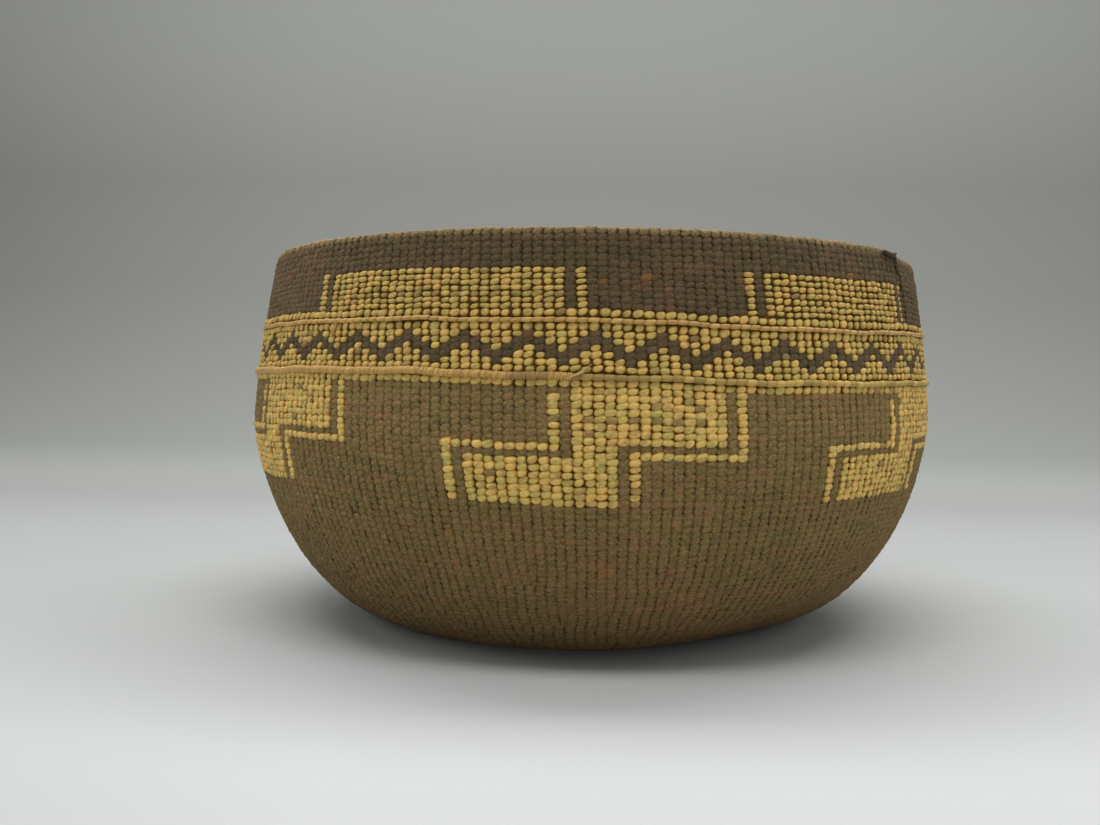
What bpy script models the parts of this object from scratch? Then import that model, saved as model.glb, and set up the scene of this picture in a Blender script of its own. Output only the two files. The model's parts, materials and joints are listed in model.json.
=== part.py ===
"""Twined bowl basket with two reinforcing rods and a grass overlay.

Warp sticks crossed at the middle of the base carry rounds of twined courses up
to the rim. The wall is one outline, cut into bands of courses. Every other piece
takes its place from that outline, from its column of stitches round the bowl and
from its depth below the rim, measured down the outside of the wall.
"""
import math

import bmesh
import bpy
from mathutils import Vector

# Bowl, in metres
BASKET_HEIGHT = 0.130
RIM_DIAMETER = 0.238
BELLY_DIAMETER = 0.250
BELLY_HEIGHT = 0.074
BASE_DIAMETER = 0.147
WALL_THICKNESS = 0.0036
HEEL_ROUNDNESS = 1.75
SHOULDER_ROUNDNESS = 1.5

# Base, in metres
HEEL_WIDTH = 0.028
RESTING_RING_WIDTH = 0.016
KICK_SLOPE_WIDTH = 0.018
KICK_HEIGHT = 0.0025
START_DIAMETER = 0.014
START_WARP_DIAMETER = 0.0016
START_WARPS = 4

# Height of one course of stitches in each zone, in metres
RIM_COURSE = 0.00189
BLOCK_COURSE = 0.001675
ZIGZAG_COURSE = 0.00203
STEPPED_COURSE = 0.00197

# Courses in each zone, from the rim down
RIM_COURSES = 5
BLOCK_COURSES = 7
ZIGZAG_COURSES = 7
STEPPED_COURSES = 17
TOOTH_COURSES = 4

# Reinforcing rods and the strand that holds each one against the wall, in metres
UPPER_ROD_DIAMETER = 0.0009
LOWER_ROD_DIAMETER = 0.0011
LASHING_THICKNESS = 0.0003
ROD_STAND_OFF = 0.00025

# Overlay, rim edge, mend and clearance between neighbours, in metres
OVERLAY_THICKNESS = 0.0005
RIM_EDGE_ROUNDING = 0.0007
MEND_CORD_DIAMETER = 0.0012
MEND_CORD_LENGTH = 0.0065
MEND_KNOT_DIAMETER = 0.0026
MEND_DEPTH = 0.0016
GAP = 0.0003

# Stitch columns: one for each warp, six to a tooth of the zigzag, counted to the right
# from the middle step motif, whose first column lies just left of -Y
ZIGZAG_TEETH = 41
COLUMNS_PER_TOOTH = 6
FIRST_COLUMN_ANGLE = math.radians(-91.6)
UPPER_TOOTH_COLUMN = -1
MEND_COLUMN = 39

# Columns where each step motif starts, and the first and last column of each block
MOTIF_COLUMNS = (0, 37, 80, 122, 165, 207)
BLOCK_COLUMNS = ((-26, -1), (19, 38), (69, 88), (119, 138), (169, 188))

# Flat sides of the wall to a tooth of the zigzag, and the stages and sides of other curves
SIDES_PER_TOOTH = 2
CURVE_SAMPLES = 120
BAND_STAGES = 5
ROD_SIDES = 6

WARPS = ZIGZAG_TEETH * COLUMNS_PER_TOOTH
WALL_SIDES = ZIGZAG_TEETH * SIDES_PER_TOOTH
COLUMNS_PER_SIDE = COLUMNS_PER_TOOTH / SIDES_PER_TOOTH
COLUMN_ANGLE = 2 * math.pi / WARPS
HALF_SIDE_ANGLE = math.pi / WALL_SIDES
CORNER_COLUMN = UPPER_TOOTH_COLUMN + COLUMNS_PER_TOOTH / 2

ROOT_BROWN = (0.118, 0.082, 0.036, 1.0)
GRASS_STRAW = (0.392, 0.258, 0.074, 1.0)
WRAP_GOLD = (0.330, 0.197, 0.063, 1.0)
ROD_TAN = (0.300, 0.175, 0.060, 1.0)
RIM_PALE = (0.190, 0.130, 0.060, 1.0)
MEND_DARK = (0.036, 0.026, 0.014, 1.0)


def material(name, colour, roughness):
    finish = bpy.data.materials.new(name)
    finish.use_nodes = True
    shader = finish.node_tree.nodes["Principled BSDF"]
    shader.inputs["Base Color"].default_value = colour
    shader.inputs["Roughness"].default_value = roughness
    shader.inputs["Metallic"].default_value = 0.0
    return finish


def place(collection, name, data, finish):
    piece = bpy.data.objects.new(name, data)
    data.materials.append(finish)
    collection.objects.link(piece)
    return piece


# Outline of the bowl: points of radius and height, and the depth of each below the rim


def smooth_wall():
    """Radius and height down the outside, from the rim over the belly to the base."""
    belly = BELLY_DIAMETER / 2
    base = BASE_DIAMETER / 2
    draw_in = belly - RIM_DIAMETER / 2
    power = 2 / HEEL_ROUNDNESS
    points = []
    for sample in range(CURVE_SAMPLES):
        share = 1 - sample / CURVE_SAMPLES
        height = BELLY_HEIGHT + share * (BASKET_HEIGHT - BELLY_HEIGHT)
        points.append((belly - draw_in * share ** SHOULDER_ROUNDNESS, height))
    for sample in range(CURVE_SAMPLES + 1):
        turn = math.pi / 2 * (1 - sample / CURVE_SAMPLES)
        radius = base + (belly - base) * math.sin(turn) ** power
        rise = 1 - max(math.cos(turn), 0.0) ** power
        points.append((radius, BELLY_HEIGHT * rise))
    return points


def depths_along(points):
    depths = [0.0]
    for upper, lower in zip(points, points[1:]):
        depths.append(depths[-1] + math.dist(upper, lower))
    return depths


def point_at(depth, depths, points):
    """Point that lies at this depth on straight lines between the points."""
    lower = next((index for index, stop in enumerate(depths) if stop >= depth), len(depths) - 1)
    lower = max(lower, 1)
    span = depths[lower] - depths[lower - 1]
    share = (depth - depths[lower - 1]) / span
    return tuple(Vector(points[lower - 1]).lerp(Vector(points[lower]), share))


def rod_course(rod_diameter):
    """Height of the course that holds a rod: the rod, its clearance and the lashing."""
    return rod_diameter + 4 * GAP + 2 * LASHING_THICKNESS


def stages(top, bottom):
    return [top + (bottom - top) * step / BAND_STAGES for step in range(1, BAND_STAGES)]


SMOOTH_WALL = smooth_wall()
SMOOTH_DEPTHS = depths_along(SMOOTH_WALL)

RIM_BAND_TOP = RIM_COURSE
BLOCK_TOP = RIM_BAND_TOP + RIM_COURSES * RIM_COURSE
UPPER_BORDER_TOP = BLOCK_TOP + BLOCK_COURSES * BLOCK_COURSE
UPPER_ROD_TOP = UPPER_BORDER_TOP + BLOCK_COURSE
ZIGZAG_TOP = UPPER_ROD_TOP + rod_course(UPPER_ROD_DIAMETER)
LOWER_ROD_TOP = ZIGZAG_TOP + ZIGZAG_COURSES * ZIGZAG_COURSE
LOWER_BORDER_TOP = LOWER_ROD_TOP + rod_course(LOWER_ROD_DIAMETER)
STEPPED_TOP = LOWER_BORDER_TOP + STEPPED_COURSE
LOWER_WALL_TOP = STEPPED_TOP + STEPPED_COURSES * STEPPED_COURSE
BASE_EDGE = SMOOTH_DEPTHS[-1]
HEEL_TOP = BASE_EDGE - HEEL_WIDTH


def bowl_outline():
    """Corners of the outside, from the rim to the hole that the crossed warps fill."""
    wall_depths = [0.0, RIM_BAND_TOP, BLOCK_TOP, UPPER_ROD_TOP, ZIGZAG_TOP, LOWER_ROD_TOP, LOWER_BORDER_TOP]
    wall_depths += stages(LOWER_BORDER_TOP, LOWER_WALL_TOP) + [LOWER_WALL_TOP]
    wall_depths += stages(LOWER_WALL_TOP, HEEL_TOP) + [HEEL_TOP]
    wall_depths += stages(HEEL_TOP, BASE_EDGE)
    corners = [point_at(depth, SMOOTH_DEPTHS, SMOOTH_WALL) for depth in wall_depths]
    base_radius = BASE_DIAMETER / 2
    ring_radius = base_radius - RESTING_RING_WIDTH
    corners.append((base_radius, 0.0))
    corners.append((ring_radius, 0.0))
    corners.append((ring_radius - KICK_SLOPE_WIDTH, KICK_HEIGHT))
    corners.append((START_DIAMETER / 2, KICK_HEIGHT))
    wall_depths.append(BASE_EDGE)
    for outer, inner in zip(corners[-4:], corners[-3:]):
        wall_depths.append(wall_depths[-1] + math.dist(outer, inner))
    return corners, wall_depths


def outward(first, second):
    step = Vector(second) - Vector(first)
    return Vector((-step.y, step.x)).normalized()


def offset_inward(points, distance):
    """Same corners on the inside of the wall, with its thickness kept at each bend."""
    moved = []
    for index, point in enumerate(points):
        before = outward(*points[max(index - 1, 0):][:2])
        after = outward(*points[min(index, len(points) - 2):][:2])
        middle = (before + after).normalized()
        moved.append(tuple(Vector(point) - middle * distance / middle.dot(after)))
    return moved


OUTSIDE, DEPTHS = bowl_outline()
INSIDE = offset_inward(OUTSIDE, WALL_THICKNESS)
RING_DEPTH, KICK_DEPTH, START_DEPTH = DEPTHS[-3:]


def outside_at(depth):
    return Vector(point_at(depth, DEPTHS, OUTSIDE))


def inside_at(depth):
    return Vector(point_at(depth, DEPTHS, INSIDE))


def outward_at(depth):
    return outward(outside_at(depth - GAP), outside_at(depth + GAP))


# Positions round the bowl, whose turned bands have flat sides that start at a tooth's edge


def column_angle(column):
    return FIRST_COLUMN_ANGLE + column * COLUMN_ANGLE


def wall_point(column, depth, lift):
    """Point on the flat sides of the wall at a column and a depth, lifted outwards."""
    radius, height = outside_at(depth)
    from_corner = (column - CORNER_COLUMN) % COLUMNS_PER_SIDE
    from_middle = (from_corner - COLUMNS_PER_SIDE / 2) * COLUMN_ANGLE
    reach = (radius * math.cos(HALF_SIDE_ANGLE) + lift) / math.cos(from_middle)
    angle = column_angle(column)
    return Vector((reach * math.cos(angle), reach * math.sin(angle), height))


def turned_ring(collection, name, profile, finish):
    """Turn a closed profile, which runs down its outer side, round the bowl's axis."""
    mesh = bpy.data.meshes.new(name)
    count = len(profile)
    edges = [(index, (index + 1) % count) for index in range(count)]
    mesh.from_pydata([(radius, 0.0, height) for radius, height in profile], edges, [])
    ring = place(collection, name, mesh, finish)
    ring.rotation_euler.z = column_angle(CORNER_COLUMN)
    screw = ring.modifiers.new("turn", "SCREW")
    screw.steps = WALL_SIDES
    screw.render_steps = WALL_SIDES
    screw.use_merge_vertices = True
    screw.merge_threshold = 0.00001
    screw.use_smooth_shade = True
    return ring


def band(collection, name, top, bottom, finish):
    """Band of courses through the whole wall, clear of its neighbours by the gap."""
    first = top + GAP / 2
    last = bottom - GAP / 2
    between = [depth for depth in DEPTHS if top + GAP < depth < bottom - GAP]
    cuts = [first] + between + [last]
    profile = [outside_at(depth) for depth in cuts]
    profile += [inside_at(depth) for depth in reversed(cuts)]
    return turned_ring(collection, name, profile, finish)


def rim_edge(collection, finish):
    """Last course, which locks the trimmed warp ends, with a rounded top."""
    last = RIM_BAND_TOP - GAP / 2
    outer_top = outside_at(0.0)
    inner_top = inside_at(0.0)
    rounding = RIM_EDGE_ROUNDING / WALL_THICKNESS
    profile = [
        outer_top.lerp(inner_top, rounding),
        outside_at(RIM_EDGE_ROUNDING),
        outside_at(last),
        inside_at(last),
        inside_at(RIM_EDGE_ROUNDING),
        inner_top.lerp(outer_top, rounding),
    ]
    return turned_ring(collection, "rim_edge_course", profile, finish)


# Reinforcing rods, each held by a course whose outer strand passes over it


def rod_centre(top, rod_diameter):
    middle = top + rod_course(rod_diameter) / 2
    return outside_at(middle) + outward_at(middle) * ROD_STAND_OFF


def around_rod(top, rod_diameter, reach, degrees):
    """Point beside the rod, at an angle from straight out to straight up the wall."""
    middle = top + rod_course(rod_diameter) / 2
    out = outward_at(middle)
    up = Vector((-out.y, out.x))
    angle = math.radians(degrees)
    return rod_centre(top, rod_diameter) + (out * math.cos(angle) + up * math.sin(angle)) * reach


def rod_holding_course(collection, name, top, rod_diameter, finish):
    """Course of the wall with a groove for the rod and a strand that wraps round it."""
    groove = rod_diameter / 2 + GAP
    strand = groove + LASHING_THICKNESS
    first = top + GAP / 2
    last = top + rod_course(rod_diameter) - GAP / 2
    mouth = groove * math.cos(math.radians(30)) - ROD_STAND_OFF
    profile = [outside_at(first).lerp(inside_at(first), mouth / WALL_THICKNESS)]
    for degrees in (150, 210, 270, 330, 390, 450):
        profile.append(around_rod(top, rod_diameter, groove, degrees))
    for degrees in (90, 30, -30, -90):
        profile.append(around_rod(top, rod_diameter, strand, degrees))
    profile += [inside_at(last), inside_at(first)]
    return turned_ring(collection, name, profile, finish)


def tube(collection, name, route, diameter, finish):
    """Round stick or cord through the points of its route."""
    path = bpy.data.curves.new(name, "CURVE")
    path.dimensions = "3D"
    path.twist_mode = "Z_UP"
    path.bevel_depth = diameter / 2
    path.bevel_resolution = (ROD_SIDES - 4) // 2
    path.use_fill_caps = True
    spline = path.splines.new("POLY")
    spline.points.add(len(route) - 1)
    for point, corner in zip(spline.points, route):
        point.co = (*corner, 1.0)
    return place(collection, name, path, finish)


def bent_rod(collection, name, top, rod_diameter, finish):
    """One stick bent round the bowl in its groove, with its ends a gap apart."""
    radius, height = rod_centre(top, rod_diameter)
    flat = radius * math.cos(HALF_SIDE_ANGLE)
    end_angle = math.atan(GAP / flat)
    turns = [HALF_SIDE_ANGLE * (2 * side + 1) for side in range(WALL_SIDES)]
    route = [(end_angle, flat)] + [(turn, radius) for turn in turns]
    route.append((2 * math.pi - end_angle, flat))
    start_angle = column_angle(CORNER_COLUMN) + HALF_SIDE_ANGLE
    corners = []
    for turn, reach in route:
        angle = start_angle + turn
        corners.append((reach * math.cos(angle), reach * math.sin(angle), height))
    return tube(collection, name, corners, rod_diameter, finish)


# Overlay of pale grass, a thin skin on the outside of the courses


def skin(collection, name, cells, finish):
    """Solid skin over four-cornered cells, each corner a column and a depth."""
    corners = {}
    sheet = bmesh.new()
    for cell in cells:
        face = []
        for column, depth in cell:
            key = (round(column % WARPS, 4), round(depth, 6))
            if key not in corners:
                corners[key] = sheet.verts.new(wall_point(column, depth, GAP))
            face.append(corners[key])
        sheet.faces.new(face)
    mesh = bpy.data.meshes.new(name)
    sheet.to_mesh(mesh)
    sheet.free()
    piece = place(collection, name, mesh, finish)
    thicken = piece.modifiers.new("thickness", "SOLIDIFY")
    thicken.thickness = OVERLAY_THICKNESS
    thicken.offset = 1.0
    return piece


def side_corners(first, last):
    """Columns between two others where one flat side of the wall meets the next."""
    side = math.ceil((first - CORNER_COLUMN) / COLUMNS_PER_SIDE)
    corners = []
    while CORNER_COLUMN + side * COLUMNS_PER_SIDE < last:
        corners.append(CORNER_COLUMN + side * COLUMNS_PER_SIDE)
        side += 1
    return corners


def patch_cells(patches):
    """Cells of a shape made of patches: first and last column, top and bottom depth."""
    columns = set()
    depths = set()
    for first, last, top, bottom in patches:
        columns.update((first - 0.5, last + 0.5))
        columns.update(side_corners(first - 0.5, last + 0.5))
        depths.update((top, bottom))
        depths.update(depth for depth in DEPTHS if top + GAP < depth < bottom - GAP)
    columns = sorted(columns)
    depths = sorted(depths)
    cells = []
    for left, right in zip(columns, columns[1:]):
        for top, bottom in zip(depths, depths[1:]):
            column = (left + right) / 2
            depth = (top + bottom) / 2
            if any(a - 0.5 < column < b + 0.5 and c < depth < d for a, b, c, d in patches):
                cells.append(((left, top), (left, bottom), (right, bottom), (right, top)))
    return cells


def border(collection, name, top, course, finish):
    """Course that is pale all the way round."""
    ring = [(0, WARPS - 1, top + GAP / 2, top + course - GAP / 2)]
    return skin(collection, name, patch_cells(ring), finish)


def zigzag_cells(edge, tip, first_tip):
    """Course with a row of teeth: straight edge, tips, and valleys one course deep."""
    course = math.copysign(ZIGZAG_COURSE, tip - edge)
    start = edge + math.copysign(GAP / 2, tip - edge)
    valley = edge + course
    half = COLUMNS_PER_TOOTH / 2
    cells = []
    for tooth in range(ZIGZAG_TEETH):
        middle = first_tip + tooth * COLUMNS_PER_TOOTH
        for left, right in (((middle - half), middle), (middle, middle + half)):
            left_end = tip if left == middle else valley
            right_end = tip if right == middle else valley
            cell = [(left, start), (left, left_end), (right, right_end), (right, start)]
            cells.append(cell if tip > edge else cell[::-1])
    return cells


def stepped_depth(course):
    """Depth of a stepped course's upper edge: course 1 lies below the pale border."""
    return STEPPED_TOP + (course - 1) * STEPPED_COURSE


def stepped_patch(start, first_column, last_column, first_course, last_course):
    top = stepped_depth(first_course) + (GAP / 2 if first_course == 1 else 0.0)
    return (start + first_column, start + last_column, top, stepped_depth(last_course + 1))


def stepped_motif(collection, name, start, finish):
    """Upright of four columns with a head to its right and a foot to its left."""
    patches = [
        stepped_patch(start, 0, 3, 1, STEPPED_COURSES),
        stepped_patch(start, 4, 13, 1, 8),
        stepped_patch(start, -10, -1, 11, STEPPED_COURSES),
    ]
    return skin(collection, name, patch_cells(patches), finish)


def left_outline(collection, name, start, finish):
    """Line one stitch wide, which follows the motif's left side past a dark line."""
    patches = [
        stepped_patch(start, -2, -2, 2, 9),
        stepped_patch(start, -12, -2, 9, 9),
        stepped_patch(start, -12, -12, 9, STEPPED_COURSES),
    ]
    return skin(collection, name, patch_cells(patches), finish)


def right_outline(collection, name, start, finish):
    """Line one stitch wide, which follows the motif's right side past a dark line."""
    patches = [
        stepped_patch(start, 15, 15, 1, 10),
        stepped_patch(start, 5, 15, 10, 10),
        stepped_patch(start, 5, 5, 10, STEPPED_COURSES),
    ]
    return skin(collection, name, patch_cells(patches), finish)


def block(collection, name, first, last, finish):
    """Pale columns from the top of the block band to the pale border below it."""
    patch = (first, last, BLOCK_TOP, UPPER_BORDER_TOP - GAP / 2)
    return skin(collection, name, patch_cells([patch]), finish)


# Crossed warp sticks at the middle of the base, and the mend at the rim


def start_warp(collection, name, layer, stick, finish):
    """One stick of a layer, cut to reach the first round of courses at both ends."""
    pitch = START_WARP_DIAMETER + GAP
    height = KICK_HEIGHT + START_WARP_DIAMETER / 2 + layer * pitch
    reach = START_DIAMETER / 2 * math.cos(HALF_SIDE_ANGLE) - GAP
    across = (stick - (START_WARPS - 1) / 2) * pitch
    half_length = math.sqrt(reach ** 2 - (abs(across) + START_WARP_DIAMETER / 2) ** 2)
    warp = tube(collection, name, [(-half_length, 0, 0), (half_length, 0, 0)], START_WARP_DIAMETER, finish)
    warp.location = (across, 0, height) if layer else (0, across, height)
    warp.rotation_euler.z = math.pi / 2 * layer
    return warp


def mend_knot(collection, finish):
    """Small knot of dark cord on the outside, just below the rim."""
    ball = bmesh.new()
    bmesh.ops.create_icosphere(ball, subdivisions=2, radius=MEND_KNOT_DIAMETER / 2)
    mesh = bpy.data.meshes.new("mend_knot")
    ball.to_mesh(mesh)
    ball.free()
    mesh.shade_smooth()
    knot = place(collection, "mend_knot", mesh, finish)
    knot.location = wall_point(MEND_COLUMN, MEND_DEPTH, MEND_KNOT_DIAMETER / 2 + GAP)
    return knot


def mend_cord(collection, finish):
    """End of the mending cord, which runs down the wall from the knot."""
    start = MEND_DEPTH + MEND_KNOT_DIAMETER / 2 + GAP
    depths = [start + MEND_CORD_LENGTH * step / BAND_STAGES for step in range(BAND_STAGES + 1)]
    lift = MEND_CORD_DIAMETER / 2 + GAP
    route = [wall_point(MEND_COLUMN, depth, lift) for depth in depths]
    return tube(collection, "mend_cord", route, MEND_CORD_DIAMETER, finish)


def woven_courses(parts):
    root = material("conifer_root_weft", ROOT_BROWN, 0.85)
    pale = material("rim_weft", RIM_PALE, 0.8)
    band(parts, "start_courses", KICK_DEPTH, START_DEPTH + GAP / 2, root)
    band(parts, "base_courses", BASE_EDGE, KICK_DEPTH, root)
    band(parts, "heel_courses", HEEL_TOP, BASE_EDGE, root)
    band(parts, "lower_wall_courses", LOWER_WALL_TOP, HEEL_TOP, root)
    band(parts, "stepped_band_courses", LOWER_BORDER_TOP, LOWER_WALL_TOP, root)
    band(parts, "zigzag_band_courses", ZIGZAG_TOP, LOWER_ROD_TOP, root)
    band(parts, "block_band_courses", BLOCK_TOP, UPPER_ROD_TOP, root)
    band(parts, "rim_courses", RIM_BAND_TOP, BLOCK_TOP, root)
    rim_edge(parts, pale)


def reinforcing_rods(parts):
    wrap = material("rod_lashing", WRAP_GOLD, 0.6)
    stick = material("rod_stick", ROD_TAN, 0.6)
    rod_holding_course(parts, "lower_rod_lashing", LOWER_ROD_TOP, LOWER_ROD_DIAMETER, wrap)
    bent_rod(parts, "lower_rod", LOWER_ROD_TOP, LOWER_ROD_DIAMETER, stick)
    rod_holding_course(parts, "upper_rod_lashing", UPPER_ROD_TOP, UPPER_ROD_DIAMETER, wrap)
    bent_rod(parts, "upper_rod", UPPER_ROD_TOP, UPPER_ROD_DIAMETER, stick)


def grass_overlay(parts):
    grass = material("grass_overlay", GRASS_STRAW, 0.55)
    border(parts, "upper_border_overlay", UPPER_BORDER_TOP, BLOCK_COURSE, grass)
    border(parts, "lower_border_overlay", LOWER_BORDER_TOP, STEPPED_COURSE, grass)
    tooth = TOOTH_COURSES * ZIGZAG_COURSE
    upper_cells = zigzag_cells(ZIGZAG_TOP, ZIGZAG_TOP + tooth, UPPER_TOOTH_COLUMN)
    lower_cells = zigzag_cells(LOWER_ROD_TOP, LOWER_ROD_TOP - tooth, CORNER_COLUMN)
    skin(parts, "zigzag_upper_overlay", upper_cells, grass)
    skin(parts, "zigzag_lower_overlay", lower_cells, grass)
    for number, start in enumerate(MOTIF_COLUMNS, 1):
        stepped_motif(parts, f"stepped_motif_{number}", start, grass)
        left_outline(parts, f"left_outline_{number}", start, grass)
        right_outline(parts, f"right_outline_{number}", start, grass)
    for number, (first, last) in enumerate(BLOCK_COLUMNS, 1):
        block(parts, f"block_{number}", first, last, grass)
        block(parts, f"left_flank_{number}", first - 2, first - 2, grass)
        block(parts, f"right_flank_{number}", last + 2, last + 2, grass)


def start_and_mend(parts):
    hazel = material("warp_stick", ROD_TAN, 0.7)
    cord = material("mend_cord", MEND_DARK, 0.9)
    for stick in range(START_WARPS):
        start_warp(parts, f"lower_start_warp_{stick + 1}", 0, stick, hazel)
        start_warp(parts, f"upper_start_warp_{stick + 1}", 1, stick, hazel)
    mend_knot(parts, cord)
    mend_cord(parts, cord)


def main():
    for piece in list(bpy.data.objects):
        bpy.data.objects.remove(piece, do_unlink=True)
    parts = bpy.data.collections.new("woven_basket")
    bpy.context.scene.collection.children.link(parts)
    woven_courses(parts)
    reinforcing_rods(parts)
    grass_overlay(parts)
    start_and_mend(parts)


main()
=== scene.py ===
"""Looks of a twined bowl basket: root weft on hazel warps, with a grass overlay and two lashed rods."""

import json
import math

import bmesh
import bpy
import numpy as np
from mathutils import Matrix, Vector

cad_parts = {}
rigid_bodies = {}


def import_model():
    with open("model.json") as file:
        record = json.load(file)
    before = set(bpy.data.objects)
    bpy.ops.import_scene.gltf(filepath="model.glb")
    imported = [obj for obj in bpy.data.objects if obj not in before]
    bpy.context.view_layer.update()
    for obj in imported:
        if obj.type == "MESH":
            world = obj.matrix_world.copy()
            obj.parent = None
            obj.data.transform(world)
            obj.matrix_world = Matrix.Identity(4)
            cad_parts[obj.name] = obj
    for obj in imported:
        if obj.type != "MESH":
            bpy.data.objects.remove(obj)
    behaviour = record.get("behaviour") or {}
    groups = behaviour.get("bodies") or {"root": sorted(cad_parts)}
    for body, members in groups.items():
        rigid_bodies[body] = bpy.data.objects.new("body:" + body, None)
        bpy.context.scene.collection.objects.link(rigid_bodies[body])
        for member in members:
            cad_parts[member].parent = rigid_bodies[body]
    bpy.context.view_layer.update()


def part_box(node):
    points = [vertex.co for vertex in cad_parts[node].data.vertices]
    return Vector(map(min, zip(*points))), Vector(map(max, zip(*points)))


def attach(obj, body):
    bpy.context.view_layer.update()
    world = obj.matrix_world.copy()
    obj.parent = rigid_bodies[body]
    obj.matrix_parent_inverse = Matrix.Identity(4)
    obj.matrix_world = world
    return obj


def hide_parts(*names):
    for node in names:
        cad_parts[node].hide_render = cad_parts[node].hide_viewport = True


for leftover in list(bpy.data.objects):
    bpy.data.objects.remove(leftover, do_unlink=True)
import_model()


# Warps and the bed they make: 246 peeled hazel shoots stand in the wall at the belly, and fewer
# further down, because new ones are let in as the bowl widens. The weft hides them, so what shows
# of them is the bed in the gaps between the stitches, whose dark colour is painted shade.
BASKET_HEIGHT = 0.130
RIM_RADIUS = 0.119
BELLY_RADIUS = 0.125
BELLY_HEIGHT = 0.074
BASE_RADIUS = 0.0735
WALL_THICKNESS = 0.0036
HEEL_ROUNDNESS = 1.75
SHOULDER_ROUNDNESS = 1.5
RESTING_RING_WIDTH = 0.016
KICK_SLOPE_WIDTH = 0.018
KICK_HEIGHT = 0.0025
START_RADIUS = 0.007
HEEL_WIDTH = 0.028
OUTLINE_STEPS = 400

WARPS = 246
COLUMN_ANGLE = 2 * math.pi / WARPS
GOLDEN_SHARE = 0.6180339887
FULL_WARP_RADIUS = 0.118
FULL_WARP_DEPTH = 0.078
EVEN_WARP_RADIUS = 0.085
EVEN_WARP_PITCH = 0.00356
WARP_GROWTH = 0.10
WARP_STEADINESS = 0.04
LEAST_STITCH = 0.3

BED_DEPTH = 0.00024
BED_SIDES = 164
BED_ROWS = 72
BED_TOP = 0.0009
BED_LAP = 0.0004


def smooth_step(share):
    share = np.clip(share, 0.0, 1.0)
    return share * share * (3 - 2 * share)


def bowl_outline():
    """Radius and height of the outside, from the rim over the belly and heel to the base's middle."""
    share = np.linspace(1, 0, OUTLINE_STEPS, endpoint=False)
    turn = np.linspace(math.pi / 2, 0, OUTLINE_STEPS, endpoint=False)
    under = np.linspace(BASE_RADIUS, 0, OUTLINE_STEPS)
    power = 2 / HEEL_ROUNDNESS
    kick = smooth_step((BASE_RADIUS - RESTING_RING_WIDTH - under) / KICK_SLOPE_WIDTH)
    radii = (
        BELLY_RADIUS - (BELLY_RADIUS - RIM_RADIUS) * share ** SHOULDER_ROUNDNESS,
        BASE_RADIUS + (BELLY_RADIUS - BASE_RADIUS) * np.sin(turn) ** power, under,
    )
    heights = (
        BELLY_HEIGHT + share * (BASKET_HEIGHT - BELLY_HEIGHT),
        BELLY_HEIGHT * (1 - np.cos(turn) ** power), KICK_HEIGHT * kick,
    )
    return np.concatenate(radii), np.concatenate(heights)


OUTLINE_RADIUS, OUTLINE_HEIGHT = bowl_outline()
OUTLINE_DEPTH = np.concatenate(
    ([0.0], np.cumsum(np.hypot(np.diff(OUTLINE_RADIUS), np.diff(OUTLINE_HEIGHT))))
)
SLOPE_RADIUS = np.gradient(OUTLINE_RADIUS, OUTLINE_DEPTH)
SLOPE_HEIGHT = np.gradient(OUTLINE_HEIGHT, OUTLINE_DEPTH)
BASE_EDGE = float(OUTLINE_DEPTH[2 * OUTLINE_STEPS])
START_DEPTH = float(OUTLINE_DEPTH[-1]) - START_RADIUS

# Small unevenness of hand work: waves round the bowl, each with its count, phase, drift and size.
# The wall's waves grow from the base up, and those of the courses from the rim down
WALL_WAVES = (
    (2, 0.6, 9.0, 0.0005), (5, 2.3, 31.0, 0.00022), (11, 4.1, -47.0, 0.00013), (23, 1.2, 83.0, 0.00008),
)
WALL_WAVES_HEIGHT = 0.020
COURSE_WAVES = (
    (1, 2.9, 4.0, 0.0003), (4, 0.4, 23.0, 0.00018), (13, 5.0, -35.0, 0.00012), (31, 3.3, 61.0, 0.00008),
)
COURSE_WAVES_DEPTH = 0.004

# How far the courses have wandered down the wall, in mm, by angle from the front and by depth:
# they ride up towards both sides, most on the left, and sag at the upper right
DRIFT_ANGLES = (-180, -90, -50, -36, -18, -2, 8, 18, 27, 37, 50, 75, 110, 180)
DRIFT_LEVELS = (
    (0.011, (0, 0, 0, 0, 0, 0, 0, 0, 0, 0, 0, 0, 0, 0)),
    (0.026, (0, -0.3, -0.2, 0.1, 0.2, 0, 0.4, 1.2, 2.0, 1.7, 1.0, 0.3, 0, 0)),
    (0.045, (0, -1.5, -2.0, -1.8, -1.3, -0.9, -0.4, 0.2, 1.0, 0.6, 0.2, 0, 0, 0)),
    (0.065, (0, -2.2, -3.2, -3.0, -1.4, -1.2, -0.3, -0.1, 0, 0, -1.1, -1.0, 0, 0)),
    (0.080, (0, -2.2, -3.3, -3.0, -1.9, -1.0, -0.3, -0.2, -0.2, -0.6, -1.7, -1.4, 0, 0)),
    (0.150, (0, 0, 0, 0, 0, 0, 0, 0, 0, 0, 0, 0, 0, 0)),
)
DRIFT_SMOOTHING = 13

# Lean of the first column of the middle step motif, in degrees by depth: it runs to the right
# going down
LEAN_DEPTHS = (0.0, 0.017, 0.034, 0.044, 0.080, 0.105)
LEAN_DEGREES = (-3.3, -2.85, -2.15, -1.70, -0.74, -0.35)

# Crease in the wall on the right, below the mend, and the rim that has sunk behind it
CREASE_ANGLE = math.radians(56.6)
CREASE_WIDTH = math.radians(1.3)
CREASE_END = 0.060
CREASE_FADE = 0.050
CREASE_SIZE = 0.0011
SUNK_START = math.radians(56.0)
SUNK_STEP = math.radians(3.0)
SUNK_END = math.radians(130.0)
SUNK_LENGTH = 0.014
SUNK_SIZE = 0.0016

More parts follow.
